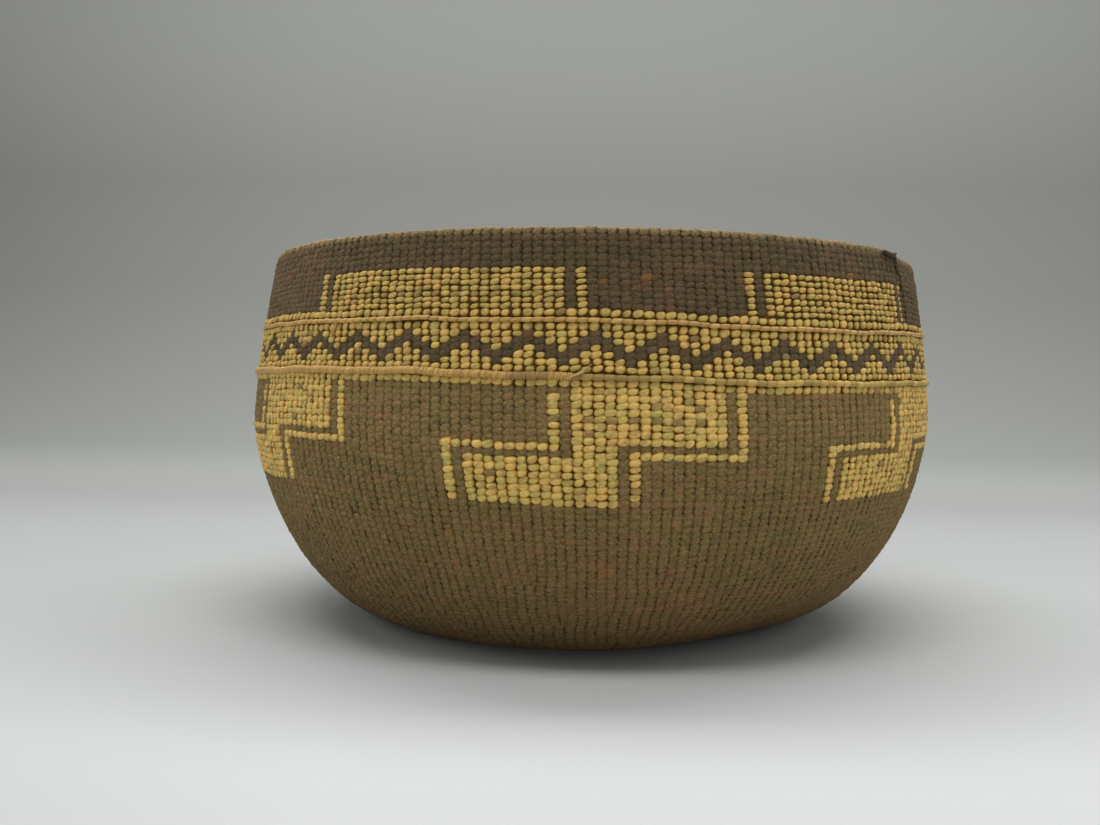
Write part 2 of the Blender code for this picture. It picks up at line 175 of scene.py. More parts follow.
# The bowl has slumped a little in use: its mouth is drawn in and leans to the right, and its heel
# is dented there
MOUTH_SHIFT = 0.0010
MOUTH_DRAW_IN = 0.0014
MOUTH_HEIGHT = 0.066
DENT_ANGLE = math.radians(42.0)
DENT_WIDTH = math.radians(27.0)
DENT_FROM_EDGE = 0.012
DENT_LENGTH = 0.020
DENT_SIZE = 0.0030


def from_front(angle):
    """The same angle, counted either way from the front."""
    return (angle + math.pi) % (2 * math.pi) - math.pi


def waves(kinds, angle, depth):
    return sum(size * np.sin(count * angle + phase + drift * depth) for count, phase, drift, size in kinds)


def bump_at(angle, middle, width):
    return np.exp(-((angle - middle) / width) ** 2)


def drift_rows():
    """The drift at each whole degree, smoothed round the bowl, one row for each depth."""
    degrees = np.arange(-180, 181)
    window = np.ones(DRIFT_SMOOTHING) / DRIFT_SMOOTHING
    rows = []
    for _, values in DRIFT_LEVELS:
        row = np.interp(degrees, DRIFT_ANGLES, values) / 1000
        rows.append(np.convolve(np.pad(row, DRIFT_SMOOTHING // 2, "edge"), window, "valid"))
    return degrees, rows


DRIFT_DEGREES, DRIFT_ROWS = drift_rows()
DRIFT_DEPTHS = [depth for depth, _ in DRIFT_LEVELS]


def drift(angle, depth):
    turned = np.degrees(from_front(angle))
    total = 0.0
    for level, row in enumerate(DRIFT_ROWS):
        share = np.interp(depth, DRIFT_DEPTHS, np.eye(len(DRIFT_DEPTHS))[level])
        total = total + share * np.interp(turned, DRIFT_DEGREES, row)
    return total


def on_wall(angle, depth, lift):
    """Points at angles from -Y towards +X and depths below the rim, lifted outwards."""
    angle = np.asarray(angle, float)
    depth = np.asarray(depth, float)
    turned = from_front(angle)
    wander = waves(COURSE_WAVES, angle, depth) * smooth_step(depth / COURSE_WAVES_DEPTH)
    depth = depth + drift(angle, depth) + wander
    radius, height, slope_radius, slope_height = (
        np.interp(depth, OUTLINE_DEPTH, values)
        for values in (OUTLINE_RADIUS, OUTLINE_HEIGHT, SLOPE_RADIUS, SLOPE_HEIGHT)
    )
    dent = bump_at(turned, DENT_ANGLE, DENT_WIDTH) * bump_at(depth, BASE_EDGE - DENT_FROM_EDGE, DENT_LENGTH)
    lift = lift - dent * DENT_SIZE
    crease = bump_at(turned, CREASE_ANGLE, CREASE_WIDTH) * smooth_step((CREASE_END - depth) / CREASE_FADE)
    mouth = np.clip((height - MOUTH_HEIGHT) / (BASKET_HEIGHT - MOUTH_HEIGHT), 0.0, 1.0)
    sunk = smooth_step((turned - SUNK_START) / SUNK_STEP)
    sunk = sunk * smooth_step((SUNK_END - turned) / (SUNK_END - SUNK_START))
    sunk = sunk * smooth_step(1 - depth / SUNK_LENGTH)
    uneven = waves(WALL_WAVES, angle, depth) * smooth_step(height / WALL_WAVES_HEIGHT)
    radius = radius + uneven - crease * CREASE_SIZE - mouth * MOUTH_DRAW_IN - lift * slope_height
    height = height - sunk * SUNK_SIZE + lift * slope_radius
    return np.stack([radius * np.sin(angle) + mouth * MOUTH_SHIFT, -radius * np.cos(angle), height], -1)


WARP_ORDER = (np.arange(WARPS) * GOLDEN_SHARE) % 1.0


def warps_at(depth):
    """Angle of each warp at this depth, its share of a full column there, and that column's width."""
    radius = float(np.interp(depth, OUTLINE_DEPTH, OUTLINE_RADIUS))
    even_count = 2 * math.pi * min(radius, EVEN_WARP_RADIUS) / EVEN_WARP_PITCH
    count = WARPS
    if depth >= FULL_WARP_DEPTH:
        let_in = (radius - EVEN_WARP_RADIUS) / (FULL_WARP_RADIUS - EVEN_WARP_RADIUS)
        count = even_count + (WARPS - even_count) * min(max(let_in, 0.0), 1.0)
    level = (1 + WARP_GROWTH) * count / WARPS
    shares = smooth_step((level - WARP_ORDER) / WARP_GROWTH)
    shares[shares < LEAST_STITCH] = 0.0
    # Each warp strays from its upright line only as far as the spacing to its neighbours asks
    alive = np.flatnonzero(shares)
    after = np.roll(alive, -1)
    wanted = (shares[alive] + shares[after]) * math.pi / shares.sum()
    apart = (after - alive) % WARPS * COLUMN_ANGLE - wanted
    each = np.eye(len(alive))
    steps = np.roll(each, 1, axis=1) - each
    strays = np.linalg.solve(steps.T @ steps + WARP_STEADINESS * each, -steps.T @ apart)
    lean = math.radians(float(np.interp(depth, LEAN_DEPTHS, LEAN_DEGREES)))
    angles = lean + np.arange(WARPS) * COLUMN_ANGLE
    angles[alive] += strays
    return angles, shares, 2 * math.pi * radius / shares.sum()


def hex_colour(code):
    """Linear colour of an sRGB hex code."""
    shares = [int(code[place:place + 2], 16) / 255 for place in (1, 3, 5)]
    return [s / 12.92 if s <= 0.04045 else ((s + 0.055) / 1.055) ** 2.4 for s in shares] + [1.0]


def add_node(tree, kind, inputs=(), **settings):
    """Adds a node, sets its properties, then fills or links its inputs by name or in order.

    A node among the inputs stands for its first output.
    """
    node = tree.nodes.new(kind)
    for key, value in settings.items():
        setattr(node, key, value)
    for key, value in inputs.items() if isinstance(inputs, dict) else enumerate(inputs):
        if isinstance(value, bpy.types.Node):
            value = value.outputs[0]
        if isinstance(value, bpy.types.NodeSocket):
            tree.links.new(value, node.inputs[key])
        else:
            node.inputs[key].default_value = value
    return node


def new_material(name):
    """Material and its tree, which starts with the Principled shader and its output."""
    finish = bpy.data.materials.new(name)
    finish.use_nodes = True
    return finish, finish.node_tree


def summed(tree, parts):
    """Sum of values that vary over the surface, each times its weight."""
    total = 0.0
    for part, weight in parts:
        total = add_node(tree, "ShaderNodeMath", (part, weight, total), operation="MULTIPLY_ADD")
    return total


def coloured_by(tree, parts, stops):
    """Colour that the sum of the parts picks between the stops, each a place and a hex colour."""
    ramp = add_node(tree, "ShaderNodeValToRGB", (summed(tree, parts),))
    elements = ramp.color_ramp.elements
    while len(elements) < len(stops):
        elements.new(0.5)
    for element, (place, code) in zip(elements, stops):
        element.position = place
        element.color = hex_colour(code)
    return ramp.outputs["Color"]


def toned(tree, colour, *steps):
    """Colour changed in steps: a share goes from first to last as a value goes from start to end.

    A step with a hex colour turns the colour towards that one by the share. A step without one
    makes it lighter or darker by that factor.
    """
    for value, start, end, first, last, *code in steps:
        share = add_node(tree, "ShaderNodeMapRange", (value, start, end, first, last))
        inputs = {"Factor": share if code else 1.0, 6: colour, 7: hex_colour(*code) if code else share}
        blend = "MIX" if code else "MULTIPLY"
        colour = add_node(tree, "ShaderNodeMix", inputs, data_type="RGBA", blend_type=blend).outputs[2]
    return colour


def set_surface(tree, colour, roughness, specular=0.5, relief=None):
    """Sets the shader's colour, roughness and specular level, and relief: height, strength, distance."""
    shader = tree.nodes["Principled BSDF"]
    tree.links.new(colour, shader.inputs["Base Color"])
    shader.inputs["Roughness"].default_value = roughness
    shader.inputs["Specular IOR Level"].default_value = specular
    if relief:
        height, strength, distance = relief
        inputs = {"Height": height, "Strength": strength, "Distance": distance}
        bump = add_node(tree, "ShaderNodeBump", inputs)
        tree.links.new(bump.outputs["Normal"], shader.inputs["Normal"])


def dark_bed_material():
    """Peeled hazel, matt and aged, its dark brown partly painted shade for the gaps between stitches."""
    finish, tree = new_material("hazel_with_gap_shade")
    place = add_node(tree, "ShaderNodeTexCoord").outputs["Object"]
    mottle = add_node(tree, "ShaderNodeTexNoise", {"Vector": place, "Scale": 400.0})
    colour = coloured_by(tree, [(mottle, 1.0)], ((0.3, "#463417"), (0.7, "#60471f")))
    set_surface(tree, colour, 0.95, 0.2)
    return finish


def new_object(name, data):
    made = bpy.data.objects.new(name, data)
    bpy.context.scene.collection.objects.link(made)
    return made


def smooth_object(name, mesh, finish=None):
    """Object from a built mesh, shaded smooth, in its finish."""
    data = bpy.data.meshes.new(name)
    mesh.to_mesh(data)
    mesh.free()
    data.shade_smooth()
    if finish:
        data.materials.append(finish)
    return new_object(name, data)


def finish_piece(piece, slot, *nodes):
    """Fixes a piece to the basket and hides the solids that it stands for. Its slot is not used."""
    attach(piece, "root")
    if nodes:
        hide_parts(*nodes)


def add_tube(mesh, rings):
    """Joins rings of vertices to a tube, with a face over each end."""
    for near, far in zip(rings, rings[1:]):
        for side in range(len(near)):
            after = (side + 1) % len(near)
            mesh.faces.new((near[side], near[after], far[after], far[side]))
    mesh.faces.new(rings[0][::-1])
    mesh.faces.new(rings[-1])
    bmesh.ops.recalc_face_normals(mesh, faces=mesh.faces)


# The bed's dark colour is painted shade in the gaps between the stitches
HAZEL_WITH_GAP_SHADE = dark_bed_material()


def wall_bed():
    """Closed shell behind the stitches of both faces of the wall, thin between the start warps."""
    angles = np.arange(BED_SIDES) * 2 * math.pi / BED_SIDES
    rows = np.linspace(BED_TOP, START_DEPTH + BED_LAP, BED_ROWS)
    thin_rows = (rows[-1], float(OUTLINE_DEPTH[-1]) - BED_DEPTH)
    inside = [(depth, -WALL_THICKNESS / 2 - BED_DEPTH) for depth in thin_rows[::-1]]
    inside += [(depth, BED_DEPTH - WALL_THICKNESS) for depth in rows[::-1]]
    outside = [(depth, -BED_DEPTH) for depth in rows]
    outside += [(depth, BED_DEPTH - WALL_THICKNESS / 2) for depth in thin_rows]
    mesh = bmesh.new()
    rings = []
    for depth, lift in inside + outside:
        rings.append([mesh.verts.new(point) for point in on_wall(angles, depth, lift)])
    add_tube(mesh, rings)
    return smooth_object("warps_in_wall", mesh, HAZEL_WITH_GAP_SHADE)


finish_piece(wall_bed(), "warp_stick")


# Root weft: two strands of split conifer root are twined round each warp in turn, course upon
# course. Each warp shows one slanting stitch of a strand on the outside and one on the inside.
# The bands are the same work: only the tension, the shade of the root and the overlay change.
RIM_COURSE = 0.00189
BASE_COURSE = 0.0020
STITCH_SINK = 0.00055
ROOT_HEIGHT = 0.0007
ROOT_RISE = 0.00028
ROOT_LIFT = ROOT_RISE - STITCH_SINK
RANDOM = np.random.default_rng(41)

# Zone, number of courses and height of one, from below the rim edge down to the step motifs
COURSE_PLAN = (
    ("rim", 5, RIM_COURSE), ("block", 7, 0.001675), ("block", 1, 0.0024), ("upper_rod", 1, 0.0015),
    ("zigzag", 1, 0.0025), ("zigzag", 6, 0.00206), ("lower_rod", 1, 0.0022), ("stepped", 18, 0.0020),
)


def all_courses():
    """Each course from the rim down: its zone, the depth of its middle and its height."""
    courses = []
    depth = RIM_COURSE
    for zone, count, pitch in COURSE_PLAN:
        courses += [(zone, depth + (number + 0.5) * pitch, pitch) for number in range(count)]
        depth += count * pitch
    kick = BASE_EDGE + RESTING_RING_WIDTH + KICK_SLOPE_WIDTH
    heel_top = BASE_EDGE - HEEL_WIDTH
    zones = (("lower_wall", heel_top), ("heel", BASE_EDGE), ("base", kick), ("start", START_DEPTH))
    for zone, bottom in zones:
        count = round((bottom - depth) / BASE_COURSE)
        pitch = (bottom - depth) / count
        courses += [(zone, depth + (number + 0.5) * pitch, pitch) for number in range(count)]
        depth = bottom
    return courses


COURSES = all_courses()
COURSE_WARPS = [warps_at(depth) for _, depth, _ in COURSES]
FIRST_COURSE = {}
for number, (zone, _, _) in enumerate(COURSES):
    FIRST_COURSE.setdefault(zone, number)

# Overlay pattern, in columns counted to the right from the middle step motif and in courses of a
# band. A patch of a motif is its piece, first and last column from the motif's start, and first
# and last course
MOTIF_COLUMNS = (0, 37, 80, 122, 165, 207)
MOTIF_PATCHES = (
    ("stepped_motif", 0, 3, 1, 17), ("stepped_motif", 4, 13, 1, 8), ("stepped_motif", -10, -1, 11, 17),
    ("left_outline", -2, -2, 2, 9), ("left_outline", -12, -2, 9, 9), ("left_outline", -12, -12, 9, 17),
    ("right_outline", 15, 15, 1, 10), ("right_outline", 5, 15, 10, 10), ("right_outline", 5, 5, 10, 17),
)
BLOCK_COLUMNS = ((-26, -1), (19, 38), (69, 88), (119, 138), (169, 188))
UPPER_TOOTH_COLUMN = -1
TOOTH_COLUMNS = 6
TOOTH_COURSES = 3
LAST_TOOTH_COURSE = 6
LAST_BLOCK_COURSE = 6
UPPER_BORDER_COURSE = 7
FLANK_COLUMNS = 2


def overlay_plan():
    """Overlay piece that covers each stitch, by course and column, where one does."""
    plan = {}

    def patch(piece, zone, first_column, last_column, first_course, last_course):
        for course in range(first_course, last_course + 1):
            for column in range(first_column, last_column + 1):
                plan[FIRST_COURSE[zone] + course, column % WARPS] = piece

    patch("upper_border_overlay", "block", 0, WARPS - 1, UPPER_BORDER_COURSE, UPPER_BORDER_COURSE)
    patch("lower_border_overlay", "stepped", 0, WARPS - 1, 0, 0)
    for column in range(WARPS):
        apart = (column - UPPER_TOOTH_COLUMN) % TOOTH_COLUMNS
        apart = min(apart, TOOTH_COLUMNS - apart)
        patch("zigzag_upper_overlay", "zigzag", column, column, 0, TOOTH_COURSES - apart)
        patch("zigzag_lower_overlay", "zigzag", column, column, LAST_TOOTH_COURSE - apart, LAST_TOOTH_COURSE)
    for number, start in enumerate(MOTIF_COLUMNS, 1):
        for piece, first, last, top, bottom in MOTIF_PATCHES:
            patch(f"{piece}_{number}", "stepped", start + first, start + last, top, bottom)
    for number, (first, last) in enumerate(BLOCK_COLUMNS, 1):
        left, right = first - FLANK_COLUMNS, last + FLANK_COLUMNS
        patch(f"block_{number}", "block", first, last, 0, LAST_BLOCK_COURSE)
        patch(f"left_flank_{number}", "block", left, left, 0, LAST_BLOCK_COURSE)
        patch(f"right_flank_{number}", "block", right, right, 0, LAST_BLOCK_COURSE)
    return plan


OVERLAY = overlay_plan()


def stitch_shape(name, sides, squareness, reach, slant, rings):
    """Cushion one unit long and high: an outline, the rings that rise from it, a crown and a foot.

    The reach stretches it towards its lower left, lower right, upper right and upper left. Each
    ring is a share of the outline and its height.
    """
    mesh = bmesh.new()
    strand = mesh.verts.layers.float_vector.new("strand")
    outline = []
    for side in range(sides):
        turn = 2 * math.pi * (side + 0.5) / sides
        x, y = math.cos(turn), math.sin(turn)
        radius = 0.5 / (abs(x) ** squareness + abs(y) ** squareness) ** (1 / squareness)
        for corner, stretch in zip((225, 315, 45, 135), reach):
            radius *= 1 + (stretch - 1) * max(math.cos(turn - math.radians(corner)), 0.0) ** 3
        outline.append((radius * x, radius * (y + slant * x)))

    def corner_at(x, y, height, edge):
        vertex = mesh.verts.new((x, y, height))
        vertex[strand] = (2 * x, 2 * y, edge)
        return vertex

    levels = [[corner_at(x * share, y * share, height, share) for x, y in outline] for share, height in rings]
    crown = corner_at(0.0, 0.0, 1.0, 0.0)
    foot = corner_at(0.0, 0.0, -1.0, 1.0)
    for side in range(sides):
        after = (side + 1) % sides
        for lower, upper in zip(levels, levels[1:]):
            mesh.faces.new((lower[side], lower[after], upper[after], upper[side]))
        mesh.faces.new((levels[-1][side], levels[-1][after], crown))
        mesh.faces.new((levels[0][after], levels[0][side], foot))
    return smooth_object(name, mesh)


def stitch_pair(name, sides, *forms):
    """Two shapes that a tree picks from by chance, so that neighbours differ."""
    return [stitch_shape(name + ending, sides, *form) for ending, form in zip(("", "_b"), forms)]


POINT_VECTORS = ("outward", "along", "size")


def stitch_tree():
    """Puts a stitch on each point, turned to the wall, and varies its size, turn and place."""
    tree = bpy.data.node_groups.new("twined_stitches", "GeometryNodeTree")
    sockets = {
        "Bed": "Geometry", "Stitch": "Object", "Other Stitch": "Object", "Size Spread": "Float",
        "Turn Spread": "Float", "Place Spread": "Float", "Seed": "Int", "Finish": "Material",
    }
    for label, kind in sockets.items():
        tree.interface.new_socket(label, in_out="INPUT", socket_type="NodeSocket" + kind)
    tree.interface.new_socket("Stitches", in_out="OUTPUT", socket_type="NodeSocketGeometry")
    given = tree.nodes.new("NodeGroupInput").outputs
    outward, along, size = (
        add_node(tree, "GeometryNodeInputNamedAttribute", {"Name": name}, data_type="FLOAT_VECTOR")
        for name in POINT_VECTORS
    )

    def spread(amount, step, base=0.0):
        """Random vector about a base, as far as the amount each way."""
        seed = add_node(tree, "ShaderNodeMath", (given["Seed"], float(step)), operation="ADD")
        limits = {0: (-1.0, -1.0, -1.0), 1: (1.0, 1.0, 1.0), "Seed": seed}
        random = add_node(tree, "FunctionNodeRandomValue", limits, data_type="FLOAT_VECTOR")
        inputs = {0: random, "Scale": given[amount]}
        scaled = add_node(tree, "ShaderNodeVectorMath", inputs, operation="SCALE")
        return add_node(tree, "ShaderNodeVectorMath", (scaled, (base, base, base)), operation="ADD")

    placed = add_node(
        tree, "GeometryNodeSetPosition", {"Geometry": given["Bed"], "Offset": spread("Place Spread", 1)}
    )
    facing = add_node(
        tree, "FunctionNodeAxesToRotation", {"Primary Axis": outward, "Secondary Axis": along},
        primary_axis="Z", secondary_axis="X",
    )
    turn = add_node(tree, "FunctionNodeEulerToRotation", (spread("Turn Spread", 2),))
    turned = add_node(tree, "FunctionNodeRotateRotation", (facing, turn), rotation_space="LOCAL")
    sizes = (size, spread("Size Spread", 3, 1.0))
    scale = add_node(tree, "ShaderNodeVectorMath", sizes, operation="MULTIPLY")
    shapes = add_node(tree, "GeometryNodeGeometryToInstance")
    for label in ("Stitch", "Other Stitch"):
        info = add_node(tree, "GeometryNodeObjectInfo", {"Object": given[label]})
        tree.links.new(info.outputs["Geometry"], shapes.inputs[0])
    which = add_node(tree, "FunctionNodeRandomValue", {4: 0, 5: 1, "Seed": given["Seed"]}, data_type="INT")
    result = add_node(
        tree, "GeometryNodeInstanceOnPoints",
        {
            "Points": placed, "Instance": shapes, "Pick Instance": True, "Instance Index": which.outputs[2],
            "Rotation": turned, "Scale": scale,
        },
    )
    limits = {2: 0.0, 3: 1.0, "Seed": given["Seed"]}
    chance = add_node(tree, "FunctionNodeRandomValue", limits, data_type="FLOAT")
    inputs = {"Geometry": result, "Name": "tone", "Value": chance.outputs[1]}
    result = add_node(tree, "GeometryNodeStoreNamedAttribute", inputs, data_type="FLOAT", domain="INSTANCE")
    result = add_node(tree, "GeometryNodeRealizeInstances", {"Geometry": result})
    for name in POINT_VECTORS:
        result = add_node(tree, "GeometryNodeRemoveAttribute", {"Geometry": result, "Name": name})
    result = add_node(tree, "GeometryNodeSetMaterial", {"Geometry": result, "Material": given["Finish"]})
    add_node(tree, "NodeGroupOutput", (result,))
    return tree


STITCH_TREE = stitch_tree()
SURFACE_STEP = 0.0002
ABOUT_RADIUS = 0.1


def bed_at(points, outward, along, size, shade):
    """Points for stitches, with the way each faces and runs, its size and its shade."""
    mesh = bpy.data.meshes.new("bed")
    mesh.from_pydata(points.tolist(), [], [])
    outward, along = (way / np.linalg.norm(way, axis=1, keepdims=True) for way in (outward, along))
    for name, vectors in zip(POINT_VECTORS, (outward, along, size)):
        layer = mesh.attributes.new(name, "FLOAT_VECTOR", "POINT")
        layer.data.foreach_set("vector", vectors.astype(np.float32).ravel())
    layer = mesh.attributes.new("shade", "FLOAT", "POINT")
    layer.data.foreach_set("value", np.asarray(shade, np.float32))
    return mesh


def bed_of_points(cells, face, rise, fill, lift=ROOT_LIFT):
    """Points on one face of the wall: each cell is an angle, depth, width, height and shade."""
    angle, depth, width, height, shade = np.array(cells, float).T
    outward = 1.0 if face == "outside" else -1.0
    surface = lift if face == "outside" else -WALL_THICKNESS - lift
    aside = SURFACE_STEP / ABOUT_RADIUS
    up = on_wall(angle, depth - SURFACE_STEP, surface) - on_wall(angle, depth + SURFACE_STEP, surface)
    around = on_wall(angle + aside, depth, surface) - on_wall(angle - aside, depth, surface)
    size = np.stack([width * fill[0], height * fill[1], np.full_like(width, rise)], -1)
    facing = np.cross(around, up) * outward
    return bed_at(on_wall(angle, depth, surface), facing, around * outward, size, shade)


def work_stitches(name, bed, shapes, finish, seed, slot, nodes, spreads=(0.1, 0.1, 0.0001)):
    """Works the stitches on their bed with the tree, as one plain mesh, and fixes them to the basket."""
    piece = new_object(name, bed)
    modifier = piece.modifiers.new("stitches", "NODES")
    modifier.node_group = STITCH_TREE
    values = {
        "Stitch": shapes[0], "Other Stitch": shapes[1], "Size Spread": spreads[0], "Turn Spread": spreads[1],
        "Place Spread": spreads[2], "Seed": seed, "Finish": finish,
    }
    for socket in STITCH_TREE.interface.items_tree:
        if socket.name in values:
            modifier[socket.identifier] = values[socket.name]
    graph = bpy.context.evaluated_depsgraph_get()
    mesh = bpy.data.meshes.new_from_object(piece.evaluated_get(graph), depsgraph=graph)
    mesh.name = name
    piece.modifiers.remove(modifier)
    piece.data = mesh
    bpy.data.meshes.remove(bed)
    finish_piece(piece, slot, *nodes)


# Two strands near the front have turned rusty: their course below the rim band, and column. Two
# courses have lost grass at every second strand: their band, course, columns and how far. A few
# more strands are worn or rusty by chance
RUSTY_STITCHES = ((2, 3), (1, 7))
RUSTY_SHADE = 0.6
WORN_COURSES = (("stepped", 5, range(1, 12, 2), 0.75), ("block", 4, range(WARPS - 25, WARPS, 2), 0.5))
WORN_SHARE = 0.03
WORN_FADE = 0.045
MOST_WORN = 0.85
RUSTY_SHARE = 0.012
MOST_RUSTY = 0.5
RUSTY_DRAWS = RANDOM.random((len(COURSES), WARPS))


def shade_of(course, column):
    """How far a strand has turned rusty, from 0 to 1, or under 0 how far its grass has worn off."""
    draw = RUSTY_DRAWS[course, column]
    if (course - FIRST_COURSE["block"], column) in RUSTY_STITCHES:
        return RUSTY_SHADE
    if (course, column) not in OVERLAY:
        return MOST_RUSTY * draw / RUSTY_SHARE if draw < RUSTY_SHARE else 0.0
    for zone, row, columns, worn in WORN_COURSES:
        if course == FIRST_COURSE[zone] + row and column in columns:
            return -worn
    return -MOST_WORN * (1 - draw / WORN_FADE) if draw < WORN_SHARE else 0.0


def cells_of(courses, wanted=lambda course, column: True):
    """Cells of the wanted stitches in these courses."""
    cells = []
    for course in courses:
        _, depth, pitch = COURSES[course]
        angles, shares, width = COURSE_WARPS[course]
        for column in np.flatnonzero(shares >= LEAST_STITCH).tolist():
            if wanted(course, column):
                shade = shade_of(course, column)
                cells.append((angles[column], depth, width * shares[column], pitch, shade))
    return cells


# Root strands swell over each warp and overlap the ones above and below, so the courses read as
# upright ribs with a dark dot at each crossing.
ROOT_STITCHES = stitch_pair(
    "root_stitch", 10, (2.2, (1.04, 0.88, 1.1, 0.92), 0.14, ((1.0, 0.0), (0.8, 0.6), (0.42, 0.93))),
    (2.05, (0.98, 0.92, 1.06, 0.98), 0.2, ((1.0, 0.0), (0.76, 0.62), (0.4, 0.92))),
)
INSIDE_STITCHES = stitch_pair(
    "inside_stitch", 7, (2.6, (1.02, 0.86, 1.1, 0.94), 0.08, ((1.0, 0.0), (0.6, 0.8))),
    (2.3, (0.96, 0.92, 1.06, 1.0), 0.1, ((1.0, 0.0), (0.56, 0.8))),
)


def strand_marks(tree, along, across):
    """What a strand carries: a vector that follows it, unlike any other's, its tone, shade and marks.

    The marks are its place along and across, from -1 to 1, and how near its outline is.
    """
    strand, tone, shade = (
        add_node(tree, "ShaderNodeAttribute", attribute_name=name) for name in ("strand", "tone", "shade")
    )
    apart = (tone.outputs["Fac"], (371.0, 173.0, 97.0))
    shift = add_node(tree, "ShaderNodeVectorMath", apart, operation="MULTIPLY")
    inputs = (strand.outputs["Vector"], (along, across, 0.0), shift)
    vector = add_node(tree, "ShaderNodeVectorMath", inputs, operation="MULTIPLY_ADD")
    marks = add_node(tree, "ShaderNodeSeparateXYZ", (strand.outputs["Vector"],)).outputs
    return vector, tone.outputs["Fac"], shade.outputs["Fac"], marks


RUSTY_ROOT = "#855a2e"


def root_material(name, stops, roughness=0.85):
    """Split and scraped conifer root, smoke-brown with age: matt, fibrous along the strand.

    Roots differ a little, so the colour drifts over patches of about 10 mm, and from stitch to
    stitch. Loose fibres and dust make it mealy at about 0.5 mm, drawn somewhat coarser than they
    are so that they show. Painted shade darkens a strand at its outline and where it dives between
    two warps, and darkens the wall towards the heel; the rim has paled at the left.
    """
    finish, tree = new_material(name)
    place = add_node(tree, "ShaderNodeTexCoord").outputs["Object"]
    spot = add_node(tree, "ShaderNodeSeparateXYZ", (place,)).outputs
    level = add_node(tree, "ShaderNodeVectorMath", (place, (0.22, 0.22, 1.0)), operation="MULTIPLY")
    vector, tone, shade, marks = strand_marks(tree, 1.2, 3.6)
    noises = (
        (level, 330.0, 3.0), (place, 28.0, 2.0), (place, 650.0, 2.0), (place, 1500.0, 2.0),
        (vector, 1.6, 3.0),
    )
    streaks, fields, mottle, dust, fibres = (
        add_node(tree, "ShaderNodeTexNoise", {"Vector": at, "Scale": scale, "Detail": detail})
        for at, scale, detail in noises
    )
    low, heel_shade, high = (
        add_node(tree, "ShaderNodeMapRange", (spot["Z"], *ends))
        for ends in ((0.006, 0.040, 1.0, 0.0), (0.006, 0.040, 0.78, 1.0), (0.100, 0.108, 0.0, 0.3))
    )
    faded_rim_and_heel_shade = add_node(tree, "ShaderNodeMath", (high, heel_shade), operation="ADD")
    hues = ((streaks, 0.45), (fields, 0.2), (mottle, 0.5), (tone, 0.1), (low, 0.04))
    light = summed(tree, ((fibres, 0.8), (dust, 0.9), (tone, 0.1), (fields, 0.2)))
    end = add_node(tree, "ShaderNodeMath", (marks["X"],), operation="ABSOLUTE")
    # Painted shade: strands darker at their outlines and ends, and lower down towards the heel
    colour = toned(
        tree, coloured_by(tree, hues, stops), (shade, 0.0, 1.0, 0.0, 1.0, RUSTY_ROOT),
        (light, 0.6, 1.36, 0.34, 1.68), (end, 0.45, 0.85, 1.0, 0.66), (marks["Z"], 0.8, 1.0, 1.0, 0.4),
        (spot["X"], -0.11, -0.07, faded_rim_and_heel_shade, heel_shade),
    )
    set_surface(tree, colour, roughness, 0.25, (light, 1.0, 0.0003))
    return finish


DARK_ROOT = root_material(
    "split_root_dark",
    ((0.46, "#4d462e"), (0.55, "#54472d"), (0.62, "#5a4a2f"), (0.7, "#594634"), (0.8, "#664b2f")),
)
BROWN_ROOT = root_material(
    "split_root_brown",
    ((0.46, "#716540"), (0.55, "#79673c"), (0.62, "#806a3d"), (0.7, "#7b6142"), (0.8, "#8b663b")),
)
BROWN_BANDS = (
    ("rim_courses", "rim", DARK_ROOT), ("block_band_courses", "block", DARK_ROOT),
    ("zigzag_band_courses", "zigzag", DARK_ROOT), ("stepped_band_courses", "stepped", BROWN_ROOT),
    ("lower_wall_courses", "lower_wall", BROWN_ROOT), ("heel_courses", "heel", BROWN_ROOT),
    ("base_courses", "base", BROWN_ROOT), ("start_courses", "start", BROWN_ROOT),
)

# How far a stitch of each band fills its place, round the bowl and up the wall
ROOT_FILL = {"base": (1.14, 1.24), "start": (1.14, 1.24)}
USUAL_FILL = (1.34, 1.52)
INSIDE_FILL = (1.1, 1.14)
MOST_IN_PIECE = 4500


def work_root_band(node, zone, finish, seed):
    """Outside and inside stitches of one band of courses, where no grass covers them."""
    courses = [number for number, course in enumerate(COURSES) if course[0] == zone]
    middle = len(courses) // 2 if len(courses) * WARPS >= MOST_IN_PIECE else len(courses)
    for number, part in enumerate((courses[:middle], courses[middle:])):
        if part:
            cells = cells_of(part, lambda course, column: (course, column) not in OVERLAY)
            bed = bed_of_points(cells, "outside", ROOT_HEIGHT, ROOT_FILL.get(zone, USUAL_FILL))
            name = node + "_outer_weft" + (f"_{number + 1}" if middle < len(courses) else "")
            work_stitches(name, bed, ROOT_STITCHES, finish, seed + number, "root_weft", [node])
    bed = bed_of_points(cells_of(courses), "inside", STITCH_SINK, INSIDE_FILL)
    work_stitches(node + "_inner_weft", bed, INSIDE_STITCHES, finish, seed + 7, "root_weft", [node])


for number, (node, zone, finish) in enumerate(BROWN_BANDS):
    work_root_band(node, zone, finish, 100 + 10 * number)


# Grass overlay: a strip of pale bear grass is laid over the root strand on the outside only,
# so each covered stitch is a plump grain, pointed at its upper right where it dives in.
GRASS_RISE = 0.00082
GRASS_LIFT = -0.00012
GRASS_SPREADS = (0.15, 0.16, 0.00017)
BARE_ROOT = "#735a37"
# Colours of a painted highlight on crowns and of painted shade at grass outlines
PAINTED_CROWN_HIGHLIGHT = "#d8cda0"
GRASS_EDGE_SHADE = "#86611f"
STAINED_GRASS = "#967540"
GRASS_STITCHES = stitch_pair(
    "grass_stitch", 12, (2.7, (1.0, 0.86, 1.12, 0.96), 0.1, ((1.0, 0.0), (0.84, 0.55), (0.48, 0.9))),
    (2.4, (0.92, 0.94, 1.08, 1.0), 0.05, ((1.0, 0.0), (0.82, 0.58), (0.44, 0.92))),
)


